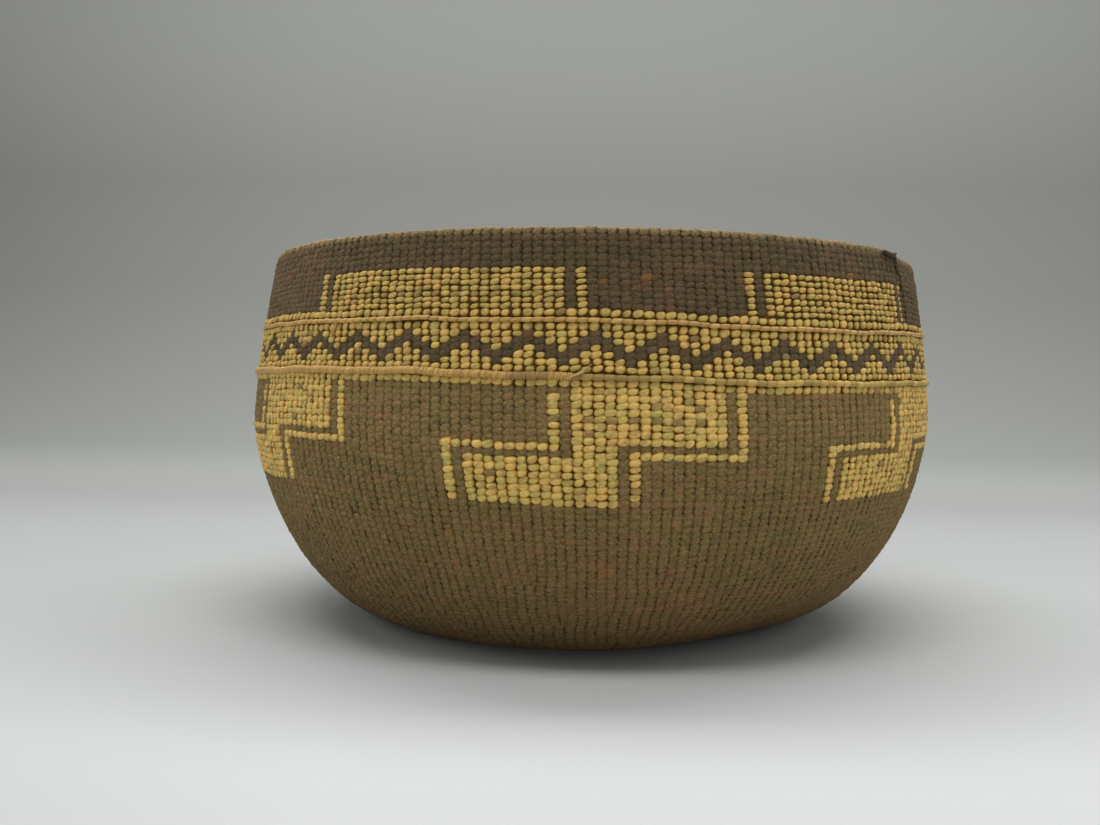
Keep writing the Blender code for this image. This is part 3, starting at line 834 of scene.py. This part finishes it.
def grass_material():
    """Sun-bleached bear grass leaf, aged to straw and gold: smooth, with a soft shine.

    Single strips differ a little: some stay greenish, some turn towards orange. Fine veins run
    along each, the crowns carry a painted highlight, the outlines painted shade, and where the
    grass has worn off, the brown root shows.
    """
    finish, tree = new_material("bear_grass_straw")
    place = add_node(tree, "ShaderNodeTexCoord").outputs["Object"]
    spot = add_node(tree, "ShaderNodeSeparateXYZ", (place,)).outputs
    vector, tone, shade, marks = strand_marks(tree, 1.0, 3.2)
    patches, stains, veins = (
        add_node(tree, "ShaderNodeTexNoise", {"Vector": at, "Scale": scale, "Detail": detail})
        for at, scale, detail in ((place, 120.0, 2.0), (place, 450.0, 3.0), (vector, 1.8, 3.0))
    )
    stops = ((0.3, "#c3ae56"), (0.46, "#cdad56"), (0.6, "#d1ab55"), (0.78, "#d0a154"))
    light = summed(tree, ((veins, 1.0), (tone, 0.2)))
    # Painted highlight on the crown of each grain and painted shade at its outline
    colour = toned(
        tree, coloured_by(tree, ((patches, 0.6), (tone, 0.4)), stops),
        (stains, 0.48, 0.7, 0.0, 0.75, STAINED_GRASS), (marks["Z"], 0.1, 0.7, 0.2, 0.0, PAINTED_CROWN_HIGHLIGHT),
        (marks["Z"], 0.62, 1.0, 0.0, 0.85, GRASS_EDGE_SHADE), (shade, 0.0, -1.0, 0.0, 1.0, BARE_ROOT),
        (light, 0.35, 0.85, 0.72, 1.32), (spot["Z"], 0.062, 0.112, 1.09, 0.885),
        (marks["Z"], 0.1, 0.6, 0.88, 1.02),
    )
    set_surface(tree, colour, 0.6, 0.3, (veins, 0.4, 0.0002))
    return finish


GRASS = grass_material()
OVERLAY_PIECES = [
    (f"{name}_grass", [f"{name}_overlay"])
    for name in ("upper_border", "lower_border", "zigzag_upper", "zigzag_lower")
]
for motif, kinds, columns in (
    ("stepped_motif", ("left_outline", "right_outline"), MOTIF_COLUMNS),
    ("block", ("left_flank", "right_flank"), BLOCK_COLUMNS),
):
    for number in range(1, len(columns) + 1):
        nodes = [f"{kind}_{number}" for kind in (motif, *kinds)]
        OVERLAY_PIECES.append((f"{motif}_{number}_grass", nodes))

# The blocks by the rim are worked tighter than the teeth, and these tighter than the step motifs
GRASS_FILL = {"block": (1.04, 1.1), "zigzag": (1.0, 1.1), "upper": (1.04, 1.06)}
USUAL_GRASS_FILL = (1.16, 1.3)

for number, (name, nodes) in enumerate(OVERLAY_PIECES):
    fill = GRASS_FILL.get(name.split("_")[0], USUAL_GRASS_FILL)
    cells = cells_of(range(len(COURSES)), lambda course, column: OVERLAY.get((course, column)) in nodes)
    bed = bed_of_points(cells, "outside", GRASS_RISE, fill, GRASS_LIFT)
    work_stitches(name, bed, GRASS_STITCHES, GRASS, 300 + number, "grass_overlay", nodes, GRASS_SPREADS)


# Rods: two slender peeled shoots are bent round the outside as stiffening. Each is held by a
# course whose outer strand passes over it at every warp, so it shows as a line of slanting wraps.
# On the lower one the strand was once renewed: left of the front it is wound fine and close.
UPPER_WRAP_RADIUS = 0.00074
LOWER_WRAP_RADIUS = 0.00120
OLD_WRAP_RADIUS = 0.00098
WRAP_SIDES = 10
WRAP_SPREADS = (0.06, 0.04, 0.00005)
WRAP_FILL = (1.0, 0.5)
ROD_INSIDE_FILL = (1.1, 1.3)
ROD_LIFT = 0.00065
FINE_WRAPS_TO_A_WARP = 4
RENEWED_END = math.radians(-2.2)
FRAYED_START = math.radians(-10.1)
FRAYED_END = math.radians(-5.2)
FRAYED_SHADE = 0.7
WORN_END = math.radians(24.0)
WORN_SHADE = 0.45
ROD_WAVES = ((7, 1.9, 0.0, 0.00018), (19, 0.4, 0.0, 0.00015), (41, 2.6, 0.0, 0.0001))
RUBBED_ROOT = "#836336"
# Colour of painted shade at the edges of the wraps
LASHING_EDGE_SHADE = "#6e4612"


def wrap_shape(name, slant, stations):
    """Wrap one unit long round a rod of one unit radius: each station is a place and its girth."""
    mesh = bmesh.new()
    strand = mesh.verts.layers.float_vector.new("strand")
    rings = []
    for place, girth in stations:
        ring = []
        for side in range(WRAP_SIDES):
            angle = 2 * math.pi * side / WRAP_SIDES
            y, z = math.cos(angle) * girth, math.sin(angle) * girth
            vertex = mesh.verts.new((place + slant * y, y, z))
            vertex[strand] = (2 * place, y, min(abs(2 * place), 1.0) ** 4)
            ring.append(vertex)
        rings.append(ring)
    add_tube(mesh, rings)
    return smooth_object(name, mesh)


BEAN = ((-0.58, 0.6), (-0.45, 0.86), (-0.2, 1.0), (0.16, 1.02), (0.43, 0.88), (0.58, 0.6))
FINE = ((-0.6, 0.86), (-0.28, 1.0), (0.28, 1.0), (0.6, 0.86))
FLAT = ((-0.58, 0.56), (-0.44, 0.87), (-0.1, 1.0), (0.16, 1.0), (0.45, 0.86), (0.58, 0.56))
BEAN_WRAPS = [wrap_shape("rod_wrap", 0.1, BEAN), wrap_shape("rod_wrap_b", 0.15, BEAN)]
FINE_WRAPS = [wrap_shape("fine_wrap", 0.3, FINE), wrap_shape("fine_wrap_b", 0.45, FINE)]
FLAT_WRAPS = [wrap_shape("flat_wrap", 0.06, FLAT), wrap_shape("flat_wrap_b", 0.1, FLAT)]


def lashing_material(name, stops, roughness, unlike, crown_highlight, edge_shade):
    """Root strand with its paler inner face out: satiny, browner where rubbed; painted highlight on crowns,
    painted shade at edges.

    The last values are how unlike each other the wraps are, how strong the painted highlight on
    their crowns and how dark the painted shade at their edges.
    """
    finish, tree = new_material(name)
    vector, tone, shade, marks = strand_marks(tree, 0.8, 6.0)
    fibres = add_node(tree, "ShaderNodeTexNoise", {"Vector": vector, "Scale": 1.3, "Detail": 3.0})
    # Painted highlight on the crown of each wrap and painted shade towards its edges
    colour = toned(
        tree, coloured_by(tree, ((fibres, 1.0 - unlike), (tone, unlike)), stops),
        (shade, 0.0, 1.0, 0.0, 1.0, RUBBED_ROOT), (marks["Z"], 0.05, 0.5, crown_highlight, 0.0, PAINTED_CROWN_HIGHLIGHT),
        (marks["Z"], 0.45, 1.0, 0.0, edge_shade, LASHING_EDGE_SHADE), (marks["Z"], 0.5, 1.0, 1.0, 0.75),
    )
    set_surface(tree, colour, roughness, relief=(fibres, 0.5, 0.0002))
    return finish


GOLDEN_ROOT = lashing_material(
    "split_root_golden", ((0.3, "#9c7334"), (0.44, "#b3893f"), (0.56, "#c29848"), (0.7, "#d4ae60")),
    0.36, 0.2, 0.05, 0.75,
)
DULL_ROOT = lashing_material(
    "split_root_dull", ((0.3, "#977d3e"), (0.44, "#ad9043"), (0.56, "#bb9b4b"), (0.7, "#caaa58")),
    0.6, 0.5, 0.0, 0.5,
)


def wraps_between(zone, radius, first, last, wraps_to_a_warp):
    """Cells of the wraps of a rod from one angle to another."""
    course = FIRST_COURSE[zone]
    angles, _, width = COURSE_WARPS[course]
    cells = []
    for angle in angles:
        for part in range(wraps_to_a_warp):
            place = angle + COLUMN_ANGLE * ((part + 0.5) / wraps_to_a_warp - 0.5)
            turned = from_front(place)
            if first <= turned < last:
                rubbed = 0.0
                if zone == "lower_rod" and FRAYED_START < turned < FRAYED_END:
                    rubbed = FRAYED_SHADE
                elif zone == "lower_rod" and RENEWED_END < turned < WORN_END:
                    rubbed = WORN_SHADE * (WORN_END - turned) / (WORN_END - RENEWED_END)
                middle = COURSES[course][1] + waves(ROD_WAVES, place, 0.0)
                cells.append((place, middle, width / wraps_to_a_warp, 2 * radius, rubbed))
    return cells


def work_rod(zone, parts, seed):
    """Wraps of a rod, and the inside stitches of its course: each part has its ends, count and look."""
    nodes = [zone + "_lashing", zone]
    for number, (radius, first, last, wraps_to_a_warp, shapes, finish) in enumerate(parts, 1):
        cells = wraps_between(zone, radius, first, last, wraps_to_a_warp)
        bed = bed_of_points(cells, "outside", radius, WRAP_FILL, ROD_LIFT)
        name = f"{zone}_wraps_{number}"
        work_stitches(name, bed, shapes, finish, seed + number, "rod_lashing", nodes, WRAP_SPREADS)
    bed = bed_of_points(cells_of([FIRST_COURSE[zone]]), "inside", STITCH_SINK, ROD_INSIDE_FILL)
    work_stitches(zone + "_inner_weft", bed, INSIDE_STITCHES, DARK_ROOT, seed + 5, "root_weft", nodes[:1])


work_rod("upper_rod", [(UPPER_WRAP_RADIUS, -math.pi, math.pi, 1, BEAN_WRAPS, GOLDEN_ROOT)], 500)
work_rod(
    "lower_rod",
    [
        (LOWER_WRAP_RADIUS, -math.pi, RENEWED_END, FINE_WRAPS_TO_A_WARP, FINE_WRAPS, GOLDEN_ROOT),
        (OLD_WRAP_RADIUS, RENEWED_END, math.pi, 1, FLAT_WRAPS, DULL_ROOT),
    ],
    520,
)


# Loose ends: where the renewed strand of the lower rod ends, its fibres stand off in a tuft, and
# on the left a loose strand hangs from the upper rod. Both are root, scraped thin.
FIBRES = 12
FIBRE_REACH = 0.0046
FIBRE_CURL = 0.0006
THIN_FIBRE = 0.00010
THICK_FIBRE = 0.00019
HANGING_ANGLE = math.radians(-39.3)
HANGING_LENGTH = 0.0058
HANGING_RADIUS = 0.00038
HANGING_SWAY = 0.0006
HANGING_LIFT = 0.0003
STRAND_SIDES = 6
STRAND_TIP = 0.35
STRAND_TAPER = 5.0


def strands_piece(name, slot, nodes, finish, routes):
    """One piece of closed strands, thinner towards both ends: each has its route and radius."""
    mesh = bmesh.new()
    strand = mesh.verts.layers.float_vector.new("strand")
    for route, radius in routes:
        route = [Vector(point) for point in route]
        rings = []
        side_way = None
        for number, point in enumerate(route):
            ahead = (route[min(number + 1, len(route) - 1)] - route[max(number - 1, 0)]).normalized()
            side_way = ahead.orthogonal() if side_way is None else side_way - ahead * side_way.dot(ahead)
            side_way.normalize()
            across = ahead.cross(side_way)
            share = number / (len(route) - 1)
            girth = radius * min(1.0, STRAND_TIP + STRAND_TAPER * min(share, 1 - share))
            ring = []
            for side in range(STRAND_SIDES):
                turn = 2 * math.pi * side / STRAND_SIDES
                vertex = mesh.verts.new(point + (side_way * math.cos(turn) + across * math.sin(turn)) * girth)
                vertex[strand] = (8 * share, math.cos(turn), 0.0)
                ring.append(vertex)
            rings.append(ring)
        add_tube(mesh, rings)
    finish_piece(smooth_object(name, mesh, finish), slot, *nodes)


def tuft_of_fibres():
    """Fibres that leave the lower rod together and fan out to the upper right."""
    depth = COURSES[FIRST_COURSE["lower_rod"]][1]
    routes = []
    for number in range(FIBRES):
        low, spread, curl = RANDOM.random(3)
        start = RENEWED_END - 0.012 + 0.02 * low
        length = FIBRE_REACH * (0.55 + 0.5 * spread)
        route = []
        for share in np.linspace(0, 1, 7):
            angle = start + length * share / BELLY_RADIUS
            down = depth + LOWER_WRAP_RADIUS * (0.9 - 1.1 * low) - length * share * (0.2 + 0.55 * spread)
            lift = ROD_LIFT + LOWER_WRAP_RADIUS * (1.0 + 0.25 * curl) + FIBRE_CURL * share * share * curl
            route.append(on_wall(angle, down, lift))
        routes.append((route, THIN_FIBRE + (THICK_FIBRE - THIN_FIBRE) * curl))
    return routes


def hanging_strand():
    """Loose strand from the upper rod over the courses below it."""
    depth = COURSES[FIRST_COURSE["upper_rod"]][1]
    route = []
    for share in np.linspace(-0.1, 1, 12):
        sway = HANGING_SWAY * math.sin(5 * share + 0.5)
        lift = ROD_LIFT + UPPER_WRAP_RADIUS * (0.9 - 0.6 * smooth_step(share * 4)) + HANGING_LIFT
        route.append(on_wall(HANGING_ANGLE + sway / BELLY_RADIUS, depth + HANGING_LENGTH * share, lift))
    return [(route, HANGING_RADIUS)]


PALE_FIBRE = lashing_material(
    "scraped_root_fibre", ((0.2, "#a98a4e"), (0.42, "#bb9c5c"), (0.62, "#c6a868"), (0.82, "#cfb477")),
    0.6, 0.2, 0.15, 0.75,
)
strands_piece("lower_rod_tuft", "rod_lashing", [], PALE_FIBRE, tuft_of_fibres())
strands_piece("hanging_strand", "rod_lashing", [], GOLDEN_ROOT, hanging_strand())


# Rim edge: the last course is worked over the top of the wall in paler root and locks the warps,
# which are then trimmed, so their cut ends stand just above it.
RIM_EDGE_FILL = (1.14, 1.2)
RIM_TOP_REACH = 0.0023
RIM_TOP_FILL = 1.15
RIM_TOP_RISE = 0.0005
RIM_TOP_IN = 0.0008
RIM_TOP_TILT = 0.7
RIM_TOP_SLANT = 0.3
WARP_END_WIDTH = 0.0014
WARP_END_HEIGHT = 0.0007
WARP_END_SPREADS = (0.3, 0.12, 0.0002)
WARP_ENDS = stitch_pair(
    "warp_end", 8, (2.0, (1.0, 1.0, 1.0, 1.0), 0.0, ((0.9, -0.9), (1.0, 0.3), (0.82, 0.86))),
    (2.0, (1.0, 1.0, 1.1, 1.0), 0.0, ((0.9, -0.9), (0.96, 0.5), (0.7, 0.9))),
)
RIM_EDGE_ROOT = root_material(
    "split_root_olive",
    ((0.46, "#6f6340"), (0.55, "#776540"), (0.62, "#7d6842"), (0.7, "#7a6245"), (0.8, "#886941")), 0.8,
)
RIM_TOP_ROOT = root_material(
    "split_root_pale",
    ((0.46, "#7f704b"), (0.55, "#87734c"), (0.62, "#8f774e"), (0.7, "#8b704f"), (0.8, "#96784c")), 0.8,
)
rim_angles, _, rim_width = warps_at(0.0)
for face in ("outside", "inside"):
    cells = [(angle, RIM_COURSE / 2, rim_width, RIM_COURSE, 0.0) for angle in rim_angles]
    bed = bed_of_points(cells, face, STITCH_SINK, RIM_EDGE_FILL)
    work_stitches(f"rim_edge_{face}", bed, ROOT_STITCHES, RIM_EDGE_ROOT, 600, "rim_weft", ["rim_edge_course"])


def bed_on_rim(lift, tilt, slant, size):
    """Points on top of the wall, at a lift from its outside, facing up and tilted outwards."""
    across, forward, level = np.sin(rim_angles), -np.cos(rim_angles), np.zeros(WARPS)
    radial = np.stack([across, forward, level], -1)
    around = np.stack([-forward, across, level], -1)
    upwards = np.array([0.0, 0.0, 1.0])
    points = on_wall(rim_angles, 0.0, lift)
    return bed_at(points, radial * tilt + upwards, around + radial * slant, np.tile(size, (WARPS, 1)), level)


RIM_TOP_PARTS = (
    ("outer", -RIM_TOP_IN, RIM_TOP_TILT), ("inner", RIM_TOP_IN - WALL_THICKNESS, -RIM_TOP_TILT),
)
for name, lift, tilt in RIM_TOP_PARTS:
    size = (COLUMN_ANGLE * RIM_RADIUS * RIM_TOP_FILL, RIM_TOP_REACH, RIM_TOP_RISE)
    bed = bed_on_rim(lift, tilt, RIM_TOP_SLANT, size)
    work_stitches(f"rim_top_{name}", bed, ROOT_STITCHES, RIM_TOP_ROOT, 610, "rim_weft", ["rim_edge_course"])
bed = bed_on_rim(-WALL_THICKNESS / 2, 0.0, 0.0, (WARP_END_WIDTH, WARP_END_WIDTH, WARP_END_HEIGHT))
work_stitches(
    "warp_ends", bed, WARP_ENDS, HAZEL_WITH_GAP_SHADE, 630, "warp_stick", ["rim_edge_course"], WARP_END_SPREADS
)


# Mend: a scrap of dark cord is knotted through the wall at the rim on the right. Its end hangs
# down the wall, and a bow of it lies to the left. It is two-ply bast, blackened with age.
KNOT_CORD_RADIUS = 0.00042
KNOT_SIZE = 0.00036
KNOT_LIFT = 0.0009
KNOT_SINK = 0.0003
KNOT_POINTS = 49
CORD_POINTS = 14
TAIL_LENGTH = 0.0065
TAIL_POINTS = 16
LOOP_ASIDE = 0.004
LOOP_RISE = 0.0006
BOW_LENGTH = 0.0105
BOW_DEPTH = 0.0012
BOW_BELOW_KNOT = 0.001
BOW_RADIUS = 0.00075
UPWARDS = Vector((0.0, 0.0, 1.0))


def mend_material():
    """Two-ply bast cord, almost black: dull, with the twist of its plies."""
    finish, tree = new_material("bast_cord_dark")
    vector = strand_marks(tree, 1.0, 2.0)[0]
    twist = add_node(tree, "ShaderNodeTexNoise", {"Vector": vector, "Scale": 2.2, "Detail": 3.0})
    colour = coloured_by(tree, [(twist, 1.0)], ((0.35, "#1f1a0d"), (0.55, "#352d19"), (0.72, "#50472b")))
    set_surface(tree, colour, 0.9, relief=(twist, 0.6, 0.0003))
    return finish


def work_mend():
    """Knot, hanging end, loop over the rim and bow, placed by the solid of the knot."""
    knot_low, knot_high = (Vector(corner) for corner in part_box("mend_knot"))
    middle = (knot_low + knot_high) / 2
    angle = math.atan2(middle.x, -middle.y)
    depth = BASKET_HEIGHT - middle.z
    middle = Vector(on_wall(angle, depth, KNOT_LIFT))
    outward = Vector((middle.x, middle.y, 0.0)).normalized()
    around = Vector((-outward.y, outward.x, 0.0))
    knot, tail, loop, bow = [], [], [], []
    for turn in np.linspace(0, 2 * math.pi, KNOT_POINTS):
        x = math.sin(turn) + 2 * math.sin(2 * turn)
        y = math.cos(turn) - 2 * math.cos(2 * turn)
        z = -math.sin(3 * turn)
        turned = around * x + UPWARDS * y * 1.1 + outward * z * 1.1
        knot.append(middle + turned * KNOT_SIZE - outward * KNOT_SINK)
    for share in np.linspace(0, 1, TAIL_POINTS):
        sway = 0.0007 * math.sin(6 * share) + 0.0008 * share
        lift = ROOT_RISE + KNOT_CORD_RADIUS * (1.0 + 0.5 * math.cos(9 * share))
        tail.append(on_wall(angle + sway / RIM_RADIUS, depth + TAIL_LENGTH * share, lift))
    for turn in np.linspace(0, math.pi, CORD_POINTS):
        lift = ROOT_RISE * math.cos(turn) - WALL_THICKNESS * (1 - math.cos(turn)) / 2
        over = on_wall(angle - LOOP_ASIDE, depth * math.cos(turn / 2), lift)
        loop.append(Vector(over) + UPWARDS * LOOP_RISE * math.sin(turn))
    for turn in np.linspace(0, math.pi / 2, CORD_POINTS):
        back = BOW_LENGTH / RIM_RADIUS * math.cos(turn)
        down = BOW_DEPTH + (depth + BOW_BELOW_KNOT - BOW_DEPTH) * (1 - math.cos(turn))
        bow.append(on_wall(angle - back, down, ROOT_RISE + BOW_RADIUS))
    finish = mend_material()
    cords = [(tail, KNOT_CORD_RADIUS), (loop, KNOT_CORD_RADIUS), (bow, BOW_RADIUS)]
    strands_piece("mend_knot_cord", "mend_cord", ["mend_knot"], finish, [(knot, KNOT_CORD_RADIUS)])
    strands_piece("mend_cord_end", "mend_cord", ["mend_cord"], finish, cords)


work_mend()


# Start: four warps lie side by side across four more at the middle of the base, and the first
# course is worked round them. They are peeled hazel, rubbed smooth outside. Past the crossing
# both layers bend into the middle of the wall.
STICK_RADIUS = 0.00082
STICK_LAP = 0.0009
STICK_SAG = 0.00012
STICK_POINTS = 21
CROSSING_HALF = 0.0034
SETTLING = 0.0016


def stick_material():
    """Peeled hazel shoot, darkened by age: fine grain along it, with a dull polish."""
    finish, tree = new_material("peeled_hazel_aged")
    vector = strand_marks(tree, 0.25, 3.0)[0]
    grain = add_node(tree, "ShaderNodeTexNoise", {"Vector": vector, "Scale": 2.0, "Detail": 4.0})
    colour = coloured_by(tree, [(grain, 1.0)], ((0.35, "#4c3a22"), (0.5, "#654d2c"), (0.68, "#7b6038")))
    set_surface(tree, colour, 0.6, relief=(grain, 0.3, 0.0002))
    return finish


PEELED_HAZEL = stick_material()
for number in range(1, 5):
    for layer, length_way in (("lower", Vector((1, 0, 0))), ("upper", Vector((0, 1, 0)))):
        node = f"{layer}_start_warp_{number}"
        low, high = (Vector(corner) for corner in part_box(node))
        middle = (low + high) / 2
        reach = (high - low).dot(length_way) / 2 + STICK_LAP
        route = []
        for share in np.linspace(-1, 1, STICK_POINTS):
            settled = float(smooth_step((abs(share) * reach - CROSSING_HALF) / SETTLING))
            rise = STICK_SAG * math.sin(4 * share + number)
            rise += (KICK_HEIGHT + WALL_THICKNESS / 2 - middle.z) * settled
            route.append(middle + length_way * reach * share + UPWARDS * rise)
        strands_piece(node + "_stick", "warp_stick", [node], PEELED_HAZEL, [(route, STICK_RADIUS)])


# Studio: a pale sweep under and behind the basket, soft lamps overhead, in front and at both
# sides, and the camera at the height of the lower rod.
STITCH_SAG = 0.0006

# Painted shade of the sweep by the way along it, in metres: its Y and its height added
SWEEP_SHADES = (
    (-0.3, "#b4b6b6"), (-0.18, "#babcbc"), (0.0, "#abadac"), (0.38, "#9b9c9b"), (0.9, "#aeb0ac"),
    (1.55, "#a1a29d"), (1.8, "#a4a5a0"), (2.1, "#c4c6c0"),
)
SHADE_DISTANCE = 0.44
SWEEP_WIDTH = 6.0
SWEEP_NEAR = -1.2
SWEEP_FAR = 0.9
SWEEP_BEND = 0.5
SWEEP_HEIGHT = 1.6
BEND_STEPS = 12


def paper_material():
    """Matt pale paper, with painted shade: lighter in front, greyer up the back and towards the left."""
    finish, tree = new_material("pale_paper")
    place = add_node(tree, "ShaderNodeTexCoord").outputs["Object"]
    spot = add_node(tree, "ShaderNodeSeparateXYZ", (place,)).outputs
    along = add_node(tree, "ShaderNodeMath", (spot["Y"], spot["Z"]), operation="ADD")
    first, last = SWEEP_SHADES[0][0], SWEEP_SHADES[-1][0]
    share = add_node(tree, "ShaderNodeMapRange", (along, first, last, 0.0, 1.0))
    stops = [((place - first) / (last - first), code) for place, code in SWEEP_SHADES]
    back = add_node(tree, "ShaderNodeMath", (spot["Y"], SHADE_DISTANCE), operation="ADD")
    aside = add_node(tree, "ShaderNodeMath", (spot["X"], back), operation="DIVIDE")
    # Painted shade towards the left, measured from about where the camera stands
    colour = toned(tree, coloured_by(tree, [(share, 1.0)], stops), (aside, -0.52, -0.24, 0.92, 1.0))
    set_surface(tree, colour, 0.95, 0.1)
    return finish


def build_stage():
    """Sheet that lies flat, bends up behind the basket in a quarter round and stands upright."""
    profile = [(SWEEP_NEAR, 0.0), (SWEEP_FAR, 0.0)]
    for step in range(1, BEND_STEPS + 1):
        turn = math.pi / 2 * step / BEND_STEPS
        profile.append((SWEEP_FAR + SWEEP_BEND * math.sin(turn), SWEEP_BEND * (1 - math.cos(turn))))
    profile.append((SWEEP_FAR + SWEEP_BEND, SWEEP_HEIGHT + STITCH_SAG))
    mesh = bmesh.new()
    rows = []
    for y, z in profile:
        rows.append([mesh.verts.new((x, y, z - STITCH_SAG)) for x in (-SWEEP_WIDTH / 2, SWEEP_WIDTH / 2)])
    for lower, upper in zip(rows, rows[1:]):
        mesh.faces.new((lower[0], lower[1], upper[1], upper[0]))
    smooth_object("paper_sweep", mesh, paper_material())


build_stage()

# Each lamp is a soft rectangle: its place, what it aims at, its size and its power in watts
LAMPS = {
    "overhead_strip": ((0.0, 0.33, 1.25), (0.0, 0.0, 0.05), (2.2, 0.45), 21.0),
    "front_strip": ((0.0, -0.52, 1.2), (0.0, 0.0, 0.05), (1.0, 0.35), 8.2),
    "front_fill": ((0.0, -1.3, 0.22), (0.0, 0.0, 0.06), (1.2, 0.3), 2.7),
    "left_softbox": ((-1.0, -0.15, 0.6), (0.0, 0.0, 0.07), (0.6, 0.6), 2.8),
    "right_softbox": ((1.0, -0.15, 0.6), (0.0, 0.0, 0.07), (0.6, 0.6), 2.6),
}
for name, (place, aim, size, power) in LAMPS.items():
    light = bpy.data.lights.new(name, "AREA")
    light.shape = "RECTANGLE"
    light.size, light.size_y = size
    light.energy = power
    lamp = new_object(name, light)
    lamp.location = place
    lamp.rotation_euler = (Vector(aim) - Vector(place)).to_track_quat("-Z", "Y").to_euler()

world = bpy.data.worlds.new("studio_room")
bpy.context.scene.world = world
world.use_nodes = True
world.node_tree.nodes["Background"].inputs["Color"].default_value = hex_colour("#e6e8e6")
world.node_tree.nodes["Background"].inputs["Strength"].default_value = 0.15

CAMERA_PLACE = Vector((0.0, -0.4385, 0.0865))
CAMERA_PITCH = math.radians(1.58)
CAMERA_YAW = math.radians(-1.88)
CAMERA_ROLL = math.radians(0.87)
FOCAL_PIXELS = 1131.0
PHOTO_WIDTH = 1100.0

lens = bpy.data.cameras.new("camera")
lens.sensor_width = 36.0
lens.sensor_fit = "HORIZONTAL"
lens.lens = FOCAL_PIXELS / PHOTO_WIDTH * lens.sensor_width
lens.clip_start = 0.01
camera = new_object("camera", lens)
view = Matrix.Translation(CAMERA_PLACE)
for turn, axis in ((-CAMERA_YAW, "Z"), (math.pi / 2 - CAMERA_PITCH, "X"), (CAMERA_ROLL, "Z")):
    view = view @ Matrix.Rotation(turn, 4, axis)
camera.matrix_world = view
bpy.context.scene.camera = camera
bpy.context.scene.view_settings.view_transform = "Standard"

WRAPS = BEAN_WRAPS + FINE_WRAPS + FLAT_WRAPS
for shape in ROOT_STITCHES + INSIDE_STITCHES + GRASS_STITCHES + WRAPS + WARP_ENDS:
    bpy.data.objects.remove(shape, do_unlink=True)
